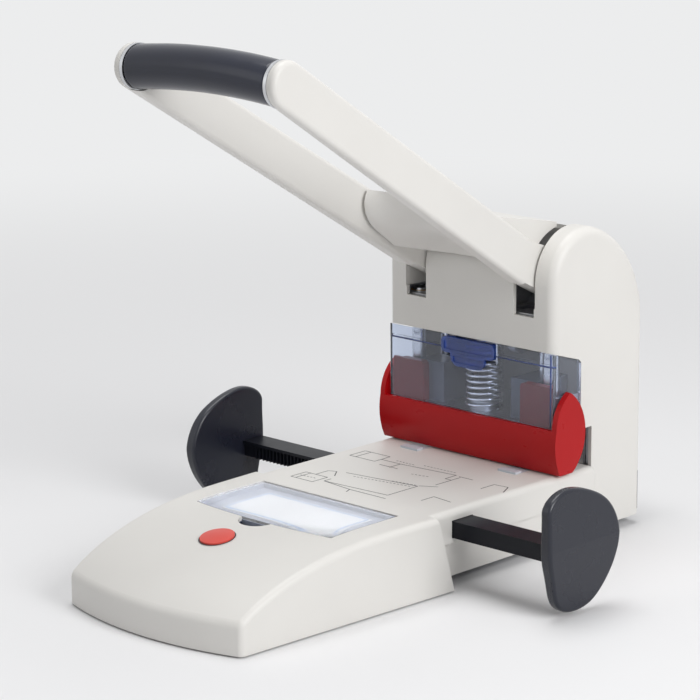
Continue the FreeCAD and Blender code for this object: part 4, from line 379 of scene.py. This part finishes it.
def made_finishes():
    """Every finish of the punch by name."""
    c = colours()
    return {
        "shell": moulded("shell_plastic", c.shell),
        "navy": moulded("navy_plastic", c.navy, roughness=0.28, grain=1500.0),
        "rail": moulded("rail_plastic", RAIL, roughness=0.4, grain=1500.0, specular=0.2),
        "grip": soft_rubber("grip_rubber", c.grip, roughness=0.2),
        "ring": steel("silver_ring", SILVER, roughness=0.3, brush=(30.0, 1.0, 1.0)),
        "red": gloss_plastic("red_plastic", c.red),
        "button": gloss_plastic("button_plastic", c.button, roughness=0.32),
        "clear": clear_plastic("clear_cover_plastic", c.cover, clearness=0.95),
        "lid": clear_plastic("clear_lid_plastic", LID, clearness=0.93, roughness=0.04),
        "edge": tinted_plastic("cover_edge_painted_shade", COVER_EDGE_SHADE, clearness=0.35),
        # The pin releases: the bail's red darkened as painted shade
        "release": gloss_plastic("release_red_painted_shade", RELEASE_SHADED),
        "latch": tinted_plastic("blue_latch_plastic", c.latch, clearness=0.75),
        "steel": steel("plated_steel", PLATED, roughness=0.36),
        "bright": steel("ground_steel", GROUND, roughness=0.22),
        "spring": steel("spring_steel", SPRING, roughness=0.2, brush=(1.0, 1.0, 4.0)),
        "bronze": steel("sintered_bronze", BRONZE, roughness=0.45, brush=(1.0, 1.0, 1.0)),
        "pale": moulded("pale_plastic", TONGUE, roughness=0.36),
        "tray": moulded("tray_plastic", TRAY, roughness=0.36),
        "block": moulded("guide_block_plastic", BLOCK, roughness=0.36),
        "dark": moulded("dark_plastic", DARK, roughness=0.5),
        "well": moulded("well_plastic", WELL, roughness=0.32),
        "foot": soft_rubber("foot_rubber", RUBBER, roughness=0.65),
        "card": paper("blank_card", CARD),
        "ink": printed("table_ink", c.print_ink),
        "card_ink": printed("card_ink", c.card_ink),
    }


# Filled by the first call of finishes()
FINISHES = {}


def finishes():
    """The finishes, made once."""
    if not FINISHES:
        FINISHES.update(made_finishes())
    return FINISHES


# The nodes of each finish
NODE_FINISHES = {
    "shell": ("base_shell", "tower_shell", "rear_cover", "lever"),
    "ring": ("grip_rings",),
    "grip": ("lever_grip",),
    "navy": ("right_stop", "left_stop"),
    "rail": ("right_stop_rail", "left_stop_rail"),
    "red": ("guard_bail",),
    "release": ("left_pin_release", "right_pin_release"),
    "button": ("red_button",),
    "clear": ("clear_cover",),
    "lid": ("label_lid",),
    "latch": ("cover_latch",),
    "steel": ("base_plate", "left_side_frame", "right_side_frame", "throat_plate", "back_stop",
              "die_bed", "carriage", "drive_yoke"),
    "bright": ("lever_axle", "upper_tie_rod", "lower_tie_rod", "left_guide_column",
               "right_guide_column", "left_punch_pin", "right_punch_pin", "left_die", "right_die",
               "drive_pins", "drive_rollers", "bail_pins", "pinion_pin", "base_screws",
               "rear_cover_screws"),
    "spring": ("return_spring", "button_spring"),
    "bronze": ("axle_bushes", "carriage_bushes"),
    "pale": ("left_die_carrier", "right_die_carrier"),
    "tray": ("label_tray",),
    "block": ("left_pin_guide", "right_pin_guide"),
    "dark": ("chip_tray", "rail_guide", "stop_pinion", "button_socket"),
    "well": ("finger_well",),
    "foot": ("front_left_foot", "front_right_foot", "rear_left_foot", "rear_right_foot"),
    "card": ("label_card",),
}


# Meshes


# Points of a closed mesh that are nearer than this become one
WELD = 1e-7
# Corners of a large circle and of a thin rod's circle
ROUND_COUNT = 72
ROD_COUNT = 12
# A rod that runs closer to y than this share takes z as its side
ALONG_Y = 0.9
# Points of a printed stroke
STROKE_COUNT = 3


def put_mesh(name, points, faces, finish, smooth=False):
    """A new piece from lists of points and faces."""
    mesh = bpy.data.meshes.new(name)
    mesh.from_pydata(points, [], faces)
    mesh.update()
    mesh.validate()
    mesh.polygons.foreach_set("use_smooth", np.full(len(mesh.polygons), smooth))
    mesh.materials.append(finishes()[finish])
    piece = bpy.data.objects.new(name, mesh)
    bpy.context.scene.collection.objects.link(piece)
    return piece


def put_closed(name, points, faces, finish):
    """A closed smooth piece, its faces turned outwards."""
    piece = put_mesh(name, points, faces, finish, smooth=True)
    work = bmesh.new()
    work.from_mesh(piece.data)
    bmesh.ops.remove_doubles(work, verts=work.verts, dist=WELD)
    bmesh.ops.recalc_face_normals(work, faces=work.faces)
    work.to_mesh(piece.data)
    work.free()
    piece.data.update()
    return piece


def circle_angles(count=ROUND_COUNT):
    """Angles of the corners of a circle."""
    return np.linspace(0.0, 2 * math.pi, count, endpoint=False)


def grid_faces(rows, columns, close_rows=False, close_columns=False, start=0):
    """Quads of a grid of rows by columns, optionally closed either way."""
    row_count = rows if close_rows else rows - 1
    column_count = columns if close_columns else columns - 1
    row, column = np.meshgrid(np.arange(row_count), np.arange(column_count), indexing="ij")
    next_row = (row + 1) % rows
    next_column = (column + 1) % columns
    corners = (
        row * columns + column,
        row * columns + next_column,
        next_row * columns + next_column,
        next_row * columns + column,
    )
    return start + np.stack([corner.ravel() for corner in corners], axis=1)


def ribbon(path, width, lift):
    """A flat printed line: each point of a path is moved half the width to both sides of it."""
    along = np.gradient(path[:, :2], axis=0)
    along /= np.linalg.norm(along, axis=1, keepdims=True)
    across = np.stack([-along[:, 1], along[:, 0], np.zeros(len(path))], axis=1)
    raised = path + np.array([0.0, 0.0, lift])
    sides = np.stack([raised - across * width / 2, raised + across * width / 2], axis=1)
    return sides.reshape(-1, 3)


def rod_mesh(first, last, radius):
    """Closed rod along a straight run.

    A circle of the radius stands square to the run at both ends; quads join the two circles, and
    each circle is capped.
    """
    ends = np.array([first, last], float)
    along = (ends[1] - ends[0]) / np.linalg.norm(ends[1] - ends[0])
    side = np.cross(along, (0.0, 1.0, 0.0) if abs(along[1]) < ALONG_Y else (0.0, 0.0, 1.0))
    side /= np.linalg.norm(side)
    up = np.cross(along, side)
    angle = circle_angles(ROD_COUNT)
    circle = radius * (np.cos(angle)[:, None] * side + np.sin(angle)[:, None] * up)
    points = (ends[:, None, :] + circle[None, :, :]).reshape(-1, 3)
    ring = np.arange(ROD_COUNT)
    caps = [ring[::-1].tolist(), (ring + ROD_COUNT).tolist()]
    return points, grid_faces(2, ROD_COUNT, close_columns=True).tolist() + caps


def printed_lines(name, strokes, width, lift, finish):
    """Many ribbons in one piece; each stroke is a list of places."""
    points, faces, start = [], [], 0
    for stroke in strokes:
        sides = ribbon(stroke, width, lift)
        count = len(sides) // 2
        points.append(sides)
        faces.append(grid_faces(count, 2, start=start)[:, ::-1])
        start += len(sides)
    return put_mesh(name, np.concatenate(points).tolist(), np.concatenate(faces).tolist(), finish)


def straight(x0, y0, x1, y1, z):
    """A stroke between two places at one height."""
    share = np.linspace(0.0, 1.0, STROKE_COUNT)[:, None]
    return np.array([[x0, y0, z]]) * (1 - share) + np.array([[x1, y1, z]]) * share


# Pieces


# Direction of the lever arm in the side view: its run to the back and its drop
ARM_RUN = 0.8515
ARM_DROP = 0.5244
# Radius of the soft edge at the grip's ends, and the stations along the grip and round that edge
GRIP_EDGE = 1.2 * MM
GRIP_COUNT = 61
GRIP_EDGE_COUNT = 7


def grip_surface():
    """Sleeve of the grip: an oval of fixed half axes carried along x.

    The oval's centre rises by the grip's rise times one minus the square of x over half the length.
    Near both ends the oval shrinks by a quarter circle of GRIP_EDGE, so that the end edge is soft.
    """
    s = sizes()
    low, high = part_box("lever_grip")
    half = (high.x - low.x) / 2
    centre_y = (low.y + high.y) / 2
    centre_z = low.z + (high.z - low.z - s.grip_rise) / 2
    inner = half - GRIP_EDGE
    flat = np.linspace(-1.0, 1.0, GRIP_COUNT) * inner
    turn = np.linspace(0.0, math.pi / 2, GRIP_EDGE_COUNT)
    bulge = GRIP_EDGE * np.sin(turn)
    softened = GRIP_EDGE * (1 - np.cos(turn))
    x = np.concatenate([-inner - bulge[:0:-1], flat, inner + bulge[1:]])
    shrink = np.concatenate([softened[:0:-1], np.zeros(len(flat)), softened[1:]])
    rise = s.grip_rise * (1 - (x / half) ** 2)
    angle = circle_angles()
    along = (s.grip_depth - shrink)[:, None] * np.cos(angle)[None, :]
    across = (s.grip_height - shrink)[:, None] * np.sin(angle)[None, :]
    lean = math.atan2(ARM_DROP, ARM_RUN)
    y = centre_y + along * math.cos(lean) + across * math.sin(lean)
    z = centre_z + rise[:, None] - along * math.sin(lean) + across * math.cos(lean)
    grid = np.stack([np.broadcast_to(x[:, None], y.shape), y, z], axis=2)
    caps = [grid[0].mean(axis=0), grid[-1].mean(axis=0)]
    points = np.concatenate([grid.reshape(-1, 3), caps])
    ring = np.arange(len(angle))
    following = (ring + 1) % len(angle)
    last = (len(x) - 1) * len(angle)
    near = np.stack([np.full(len(ring), len(points) - 2), following, ring], axis=1)
    far = np.stack([np.full(len(ring), len(points) - 1), last + ring, last + following], axis=1)
    sides = grid_faces(len(x), len(angle), close_columns=True)
    return points.tolist(), sides.tolist() + near.tolist() + far.tolist()


class PUNCH_OT_finish_frame(bpy.types.Operator):
    """Give every carried-over node its finish"""

    bl_idname = "punch.finish_frame"
    bl_label = "Finish the frame"

    def execute(self, context):
        done = set()
        for finish, names in NODE_FINISHES.items():
            for name in names:
                node = frame["nodes"][name]
                if not node.material_slots:
                    node.data.materials.append(None)
                for slot in node.material_slots:
                    slot.material = finishes()[finish]
                done.add(name)
        missing = set(frame["nodes"]) - done
        if missing:
            raise RuntimeError(f"nodes without a finish: {sorted(missing)}")
        return {"FINISHED"}


class PUNCH_OT_grip(bpy.types.Operator):
    """Draw the soft sleeve of the grip"""

    bl_idname = "punch.grip"
    bl_label = "Grip sleeve"

    def execute(self, context):
        points, faces = grip_surface()
        sleeve = put_closed("grip_sleeve", points, faces, "grip")
        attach(sleeve, "lever")
        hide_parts("lever_grip")
        return {"FINISHED"}


# Plain sheet outlines and margin marks on the table, in millimetres: both ends of each stroke as x
# and y from the front of the clear cover
TABLE_STROKES = (
    (-57, -46, -36, -46), (-36, -46, -36, -32), (-36, -32, -57, -32), (-57, -32, -57, -46),
    (-52, -46, -52, -32), (-36, -40, -20, -40), (-20, -40, -20, -50), (-29, -49, -14, -49),
    (-20, -40, 22, -36), (22, -36, 22, -46), (22, -46, 27, -46), (27, -60, 27, -38),
    (25, -37, 36, -37), (-50, -104, -32, -104), (-32, -104, -32, -91), (-32, -91, -50, -91),
    (-50, -91, -50, -104), (-46, -104, -46, -91), (-42, -91, -42, -80), (-42, -80, -37, -78),
    (-37, -78, -31, -86), (-31, -76, 21, -69), (21, -69, 21, -95), (21, -95, -28, -98),
    (-28, -98, -28, -92), (21, -68, 31, -62), (-28, -98, -4, -101), (-4, -101, 25, -101),
    (-4, -101, -2, -106), (52, -48, 52, -36), (52, -36, 62, -35), (62, -35, 67, -45),
    (43, -90, 43, -79), (43, -79, 58, -81),
)
# Rows of short dashes beside the outlines: both ends of each row, measured the same way
DASH_ROWS = (
    (-7, -33, 20, -32), (0, -52, 14, -49), (-22, -79, 20, -72), (2, -71, 20, -68),
    (-27, -36, -12, -36), (-48, -98, -35, -97), (5, -96, 19, -95),
)
# Distance from dash to dash in millimetres, and the share of it that is printed
DASH_PITCH = 2.6
DASH_SHARE = 0.6


def dashes(x0, y0, x1, y1):
    """Dashes along a row: each starts a pitch after the last and is its printed share long."""
    length = math.hypot(x1 - x0, y1 - y0)
    dash = DASH_PITCH * DASH_SHARE
    starts = np.arange(0.0, length - dash, DASH_PITCH) / length
    ends = starts + dash / length
    run = np.array([x1 - x0, y1 - y0])
    first = np.array([x0, y0]) + starts[:, None] * run
    last = np.array([x0, y0]) + ends[:, None] * run
    return np.concatenate([first, last], axis=1).tolist()


class PUNCH_OT_table_print(bpy.types.Operator):
    """Print the plain guide lines on the table"""

    bl_idname = "punch.table_print"
    bl_label = "Table print"

    def execute(self, context):
        s = sizes()
        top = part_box("base_shell")[1].z
        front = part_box("clear_cover")[0].y
        rows = [dash for row in DASH_ROWS for dash in dashes(*row)]
        strokes = [
            straight(x0 * MM, front + y0 * MM, x1 * MM, front + y1 * MM, top)
            for x0, y0, x1, y1 in [*TABLE_STROKES, *rows]
        ]
        lines = printed_lines("table_print", strokes, s.print_width, s.print_lift, "ink")
        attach(lines, "chassis")
        return {"FINISHED"}


# Border on the card: its distance from the card's edge, and the width of its line
BORDER_INSET = 1.6 * MM
BORDER_WIDTH = 1.4 * MM


class PUNCH_OT_card_print(bpy.types.Operator):
    """Print the plain border on the card"""

    bl_idname = "punch.card_print"
    bl_label = "Card print"

    def execute(self, context):
        low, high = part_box("label_card")
        x0, x1 = low.x + BORDER_INSET, high.x - BORDER_INSET
        y0, y1 = low.y + BORDER_INSET, high.y - BORDER_INSET
        z = high.z
        strokes = [
            straight(x0, y0, x1, y0, z), straight(x1, y0, x1, y1, z),
            straight(x1, y1, x0, y1, z), straight(x0, y1, x0, y0, z),
        ]
        lift = sizes().print_lift
        border = printed_lines("card_border", strokes, BORDER_WIDTH, lift, "card_ink")
        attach(border, "chassis")
        return {"FINISHED"}


class PUNCH_OT_cover_edges(bpy.types.Operator):
    """Draw dark blue lines on the moulded ridge and the upright edge of the clear cover, as painted
    shade for the dark look of clear plastic at its edges
    """

    bl_idname = "punch.cover_edges"
    bl_label = "Cover edges"

    def execute(self, context):
        s = sizes()
        low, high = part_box("clear_cover")
        latch_low, latch_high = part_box("cover_latch")
        radius = s.ridge_radius
        left, right = low.x + s.ridge_inset, high.x - s.ridge_inset
        front = low.y + radius
        ridge_z = high.z - s.ridge_drop
        runs = [
            ((left, front, ridge_z), (latch_low.x - radius, front, ridge_z)),
            ((latch_high.x + radius, front, ridge_z), (right, front, ridge_z)),
            ((right, front, ridge_z), (high.x - radius, front + s.ridge_return, ridge_z)),
            ((right, front, high.z - radius), (right, front, low.z + radius)),
        ]
        points, faces, start = [], [], 0
        for first, last in runs:
            rod, sides = rod_mesh(first, last, radius)
            faces.extend([start + corner for corner in side] for side in sides)
            points.append(rod)
            start += len(rod)
        # The ridge and the upright edge are real; their dark blue lines are painted shade
        ridge = put_closed("cover_ridge_painted_shade", np.concatenate(points).tolist(), faces, "edge")
        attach(ridge, "chassis")
        return {"FINISHED"}


class PUNCH_OT_button_rim(bpy.types.Operator):
    """Draw the dark rim round the push button"""

    bl_idname = "punch.button_rim"
    bl_label = "Button rim"

    def execute(self, context):
        s = sizes()
        low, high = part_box("red_button")
        middle = (low + high) / 2
        slide = next(joint for joint in frame["joints"] if joint["name"] == "button_slide")
        inward = Vector(slide["axis"]).normalized()
        across = Vector((1.0, 0.0, 0.0))
        upward = inward.cross(across)
        upward *= 1.0 if upward.z > 0.0 else -1.0
        angle = circle_angles()
        turn = np.cos(angle)[:, None] * np.array(across) + np.sin(angle)[:, None] * np.array(upward)
        centre = np.array(middle) - np.array(inward) * s.rim_rise - np.array(upward) * s.rim_shift
        inner = centre + turn * s.rim_radius
        outer = centre + turn * (s.rim_radius + s.rim_width)
        points = np.stack([inner, outer], axis=1).reshape(-1, 3)
        faces = grid_faces(len(angle), 2, close_rows=True)
        rim = put_mesh("button_rim", points.tolist(), faces.tolist(), "dark")
        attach(rim, "chassis")
        return {"FINISHED"}


# Stage


# Camera of the photograph: place in metres, angles in degrees, lens and sensor in millimetres
CAMERA_PLACE = (1.1219, -1.1688, 0.5088)
CAMERA_AZIMUTH = 44.0644
CAMERA_ELEVATION = 13.1545
CAMERA_ROLL = -0.4813
CAMERA_LENS = 146.893
CAMERA_SENSOR = 36.0
CAMERA_REACH = 50.0
# Floor: half its side, and the distances from the middle where it starts to fade and is gone
FLOOR_REACH = 6.0
FLOOR_NEAR = 0.35
FLOOR_FAR = 1.5
FLOOR_DARKER = (0.80, 0.80, 0.81)
FLOOR_LIGHTER = (0.84, 0.84, 0.85)
FLOOR_CLOUDS = 0.6
FLOOR_ROUGHNESS = 0.75
# Background that rays see, and the light that the world gives
PALE = (0.84, 0.845, 0.85)
WORLD_STRENGTH = 0.30
# Softboxes: name, place, side in metres and power in watts; all face one target
LAMP_TARGET = (0.0, 0.0, 0.12)
LAMPS = (
    ("key_lamp", (1.75, -0.1, 1.0), 1.0, 22.0),
    ("top_lamp", (-0.2, 0.1, 1.9), 1.2, 19.0),
    ("front_lamp", (-0.9, -1.6, 0.9), 1.0, 2.0),
)


def camera_axes():
    """Right, up and back directions of the camera from its azimuth, elevation and roll."""
    azimuth = math.radians(CAMERA_AZIMUTH)
    elevation = math.radians(CAMERA_ELEVATION)
    roll = math.radians(CAMERA_ROLL)
    back = Vector((
        math.sin(azimuth) * math.cos(elevation),
        -math.cos(azimuth) * math.cos(elevation),
        math.sin(elevation),
    ))
    right = (-back).cross(Vector((0.0, 0.0, 1.0))).normalized()
    up = right.cross(-back)
    rolled_right = right * math.cos(roll) + up * math.sin(roll)
    rolled_up = up * math.cos(roll) - right * math.sin(roll)
    return rolled_right, rolled_up, back


def background_rays(tree):
    """One for the rays that show the pale background: camera, glossy and transmission rays.

    That one is held against the number of diffuse bounces, so it is zero after any of them, and
    the background puts no more light on what lies under a clear piece.
    """
    path = tree.nodes.new("ShaderNodeLightPath")

    def combined(operation, first, second):
        node = tree.nodes.new("ShaderNodeMath")
        node.operation = operation
        tree.links.new(first, node.inputs[0])
        tree.links.new(second, node.inputs[1])
        return node.outputs["Value"]

    shown = path.outputs["Is Camera Ray"]
    for kind in ("Is Glossy Ray", "Is Transmission Ray"):
        shown = combined("MAXIMUM", shown, path.outputs[kind])
    return combined("GREATER_THAN", shown, path.outputs["Diffuse Depth"])


def fade_far_floor(finish):
    """Let the far floor pass into the pale background: the share of pale grows with distance."""
    distance = finish.add("ShaderNodeVectorMath", operation="LENGTH")
    finish.link(finish.places.outputs["Object"], distance.inputs[0])
    share = finish.add("ShaderNodeMapRange", interpolation_type="SMOOTHSTEP")
    share.inputs["From Min"].default_value = FLOOR_NEAR
    share.inputs["From Max"].default_value = FLOOR_FAR
    finish.link(distance.outputs["Value"], share.inputs["Value"])
    both = finish.add("ShaderNodeMath", operation="MULTIPLY")
    finish.link(share.outputs["Result"], both.inputs[0])
    finish.link(background_rays(finish.tree), both.inputs[1])
    pale = finish.add("ShaderNodeEmission")
    pale.inputs["Color"].default_value = (*PALE, 1.0)
    finish.overlay(both.outputs["Value"], pale.outputs["Emission"])


def put_camera(scene):
    """The camera of the photograph."""
    data = bpy.data.cameras.new("camera")
    data.lens = CAMERA_LENS
    data.sensor_width = CAMERA_SENSOR
    data.clip_end = CAMERA_REACH
    camera = bpy.data.objects.new("camera", data)
    turn = Matrix(camera_axes()).transposed().to_4x4()
    camera.matrix_world = Matrix.Translation(CAMERA_PLACE) @ turn
    scene.collection.objects.link(camera)
    scene.camera = camera


def put_floor(scene):
    """A pale floor in the plane z = 0 that fades into the background."""
    r = FLOOR_REACH
    mesh = bpy.data.meshes.new("floor")
    mesh.from_pydata([(-r, -r, 0.0), (r, -r, 0.0), (r, r, 0.0), (-r, r, 0.0)], [], [(0, 1, 2, 3)])
    mesh.update()
    floor = bpy.data.objects.new("floor", mesh)
    scene.collection.objects.link(floor)
    finish = Finish("pale_floor")
    finish.colour(finish.noise(scale=FLOOR_CLOUDS), FLOOR_DARKER, FLOOR_LIGHTER)
    finish.set(Roughness=FLOOR_ROUGHNESS)
    fade_far_floor(finish)
    mesh.materials.append(finish.material)


def put_world(scene):
    """A plain white light all round, and the pale background for the rays that show it."""
    world = bpy.data.worlds.new("studio")
    world.use_nodes = True
    tree = world.node_tree
    tree.nodes.clear()
    output = tree.nodes.new("ShaderNodeOutputWorld")
    mixer = tree.nodes.new("ShaderNodeMixShader")
    tree.links.new(background_rays(tree), mixer.inputs["Fac"])
    for socket, colour, strength in ((1, WHITE, WORLD_STRENGTH), (2, PALE, 1.0)):
        light = tree.nodes.new("ShaderNodeBackground")
        light.inputs["Color"].default_value = (*colour, 1.0)
        light.inputs["Strength"].default_value = strength
        tree.links.new(light.outputs["Background"], mixer.inputs[socket])
    tree.links.new(mixer.outputs["Shader"], output.inputs["Surface"])
    scene.world = world


def put_lamp(scene, name, place, side, power):
    """A square softbox at a place, facing the target."""
    light = bpy.data.lights.new(name, "AREA")
    light.shape = "SQUARE"
    light.size = side
    light.energy = power
    lamp = bpy.data.objects.new(name, light)
    lamp.location = place
    facing = Vector(LAMP_TARGET) - Vector(place)
    lamp.rotation_euler = facing.to_track_quat("-Z", "Y").to_euler()
    scene.collection.objects.link(lamp)


class PUNCH_OT_stage(bpy.types.Operator):
    """Set up the floor, lamps and camera"""

    bl_idname = "punch.stage"
    bl_label = "Stage"

    def execute(self, context):
        scene = context.scene
        put_camera(scene)
        put_floor(scene)
        put_world(scene)
        for lamp in LAMPS:
            put_lamp(scene, *lamp)
        scene.view_settings.view_transform = "Standard"
        return {"FINISHED"}


class PUNCH_PT_panel(bpy.types.Panel):
    """Sizes, colours and pieces of the punch"""

    bl_idname = "PUNCH_PT_panel"
    bl_label = "Hole Punch"
    bl_space_type = "VIEW_3D"
    bl_region_type = "UI"
    bl_category = "Hole Punch"

    def draw(self, context):
        layout = self.layout
        for group in (context.scene.punch_sizes, context.scene.punch_colours):
            box = layout.box()
            for name in group.bl_rna.properties.keys():
                if name not in ("rna_type", "name"):
                    box.prop(group, name)
        for piece in PIECE_OPERATORS:
            layout.operator(piece.bl_idname)


PIECE_OPERATORS = (
    PUNCH_OT_stage,
    PUNCH_OT_finish_frame,
    PUNCH_OT_grip,
    PUNCH_OT_table_print,
    PUNCH_OT_card_print,
    PUNCH_OT_cover_edges,
    PUNCH_OT_button_rim,
)
CLASSES = (PunchSizes, PunchColours) + PIECE_OPERATORS + (PUNCH_PT_panel,)


def register():
    """Make the classes and their settings known."""
    for kind in CLASSES:
        bpy.utils.register_class(kind)
    bpy.types.Scene.punch_sizes = bpy.props.PointerProperty(type=PunchSizes)
    bpy.types.Scene.punch_colours = bpy.props.PointerProperty(type=PunchColours)


def unregister():
    """Take the settings and the classes out again, in reverse order."""
    del bpy.types.Scene.punch_colours
    del bpy.types.Scene.punch_sizes
    for kind in reversed(CLASSES):
        bpy.utils.unregister_class(kind)


def main():
    register()
    bpy.ops.punch.stage()
    bpy.ops.punch.finish_frame()
    bpy.ops.punch.grip()
    bpy.ops.punch.table_print()
    bpy.ops.punch.card_print()
    bpy.ops.punch.cover_edges()
    bpy.ops.punch.button_rim()


if __name__ == "__main__":
    main()
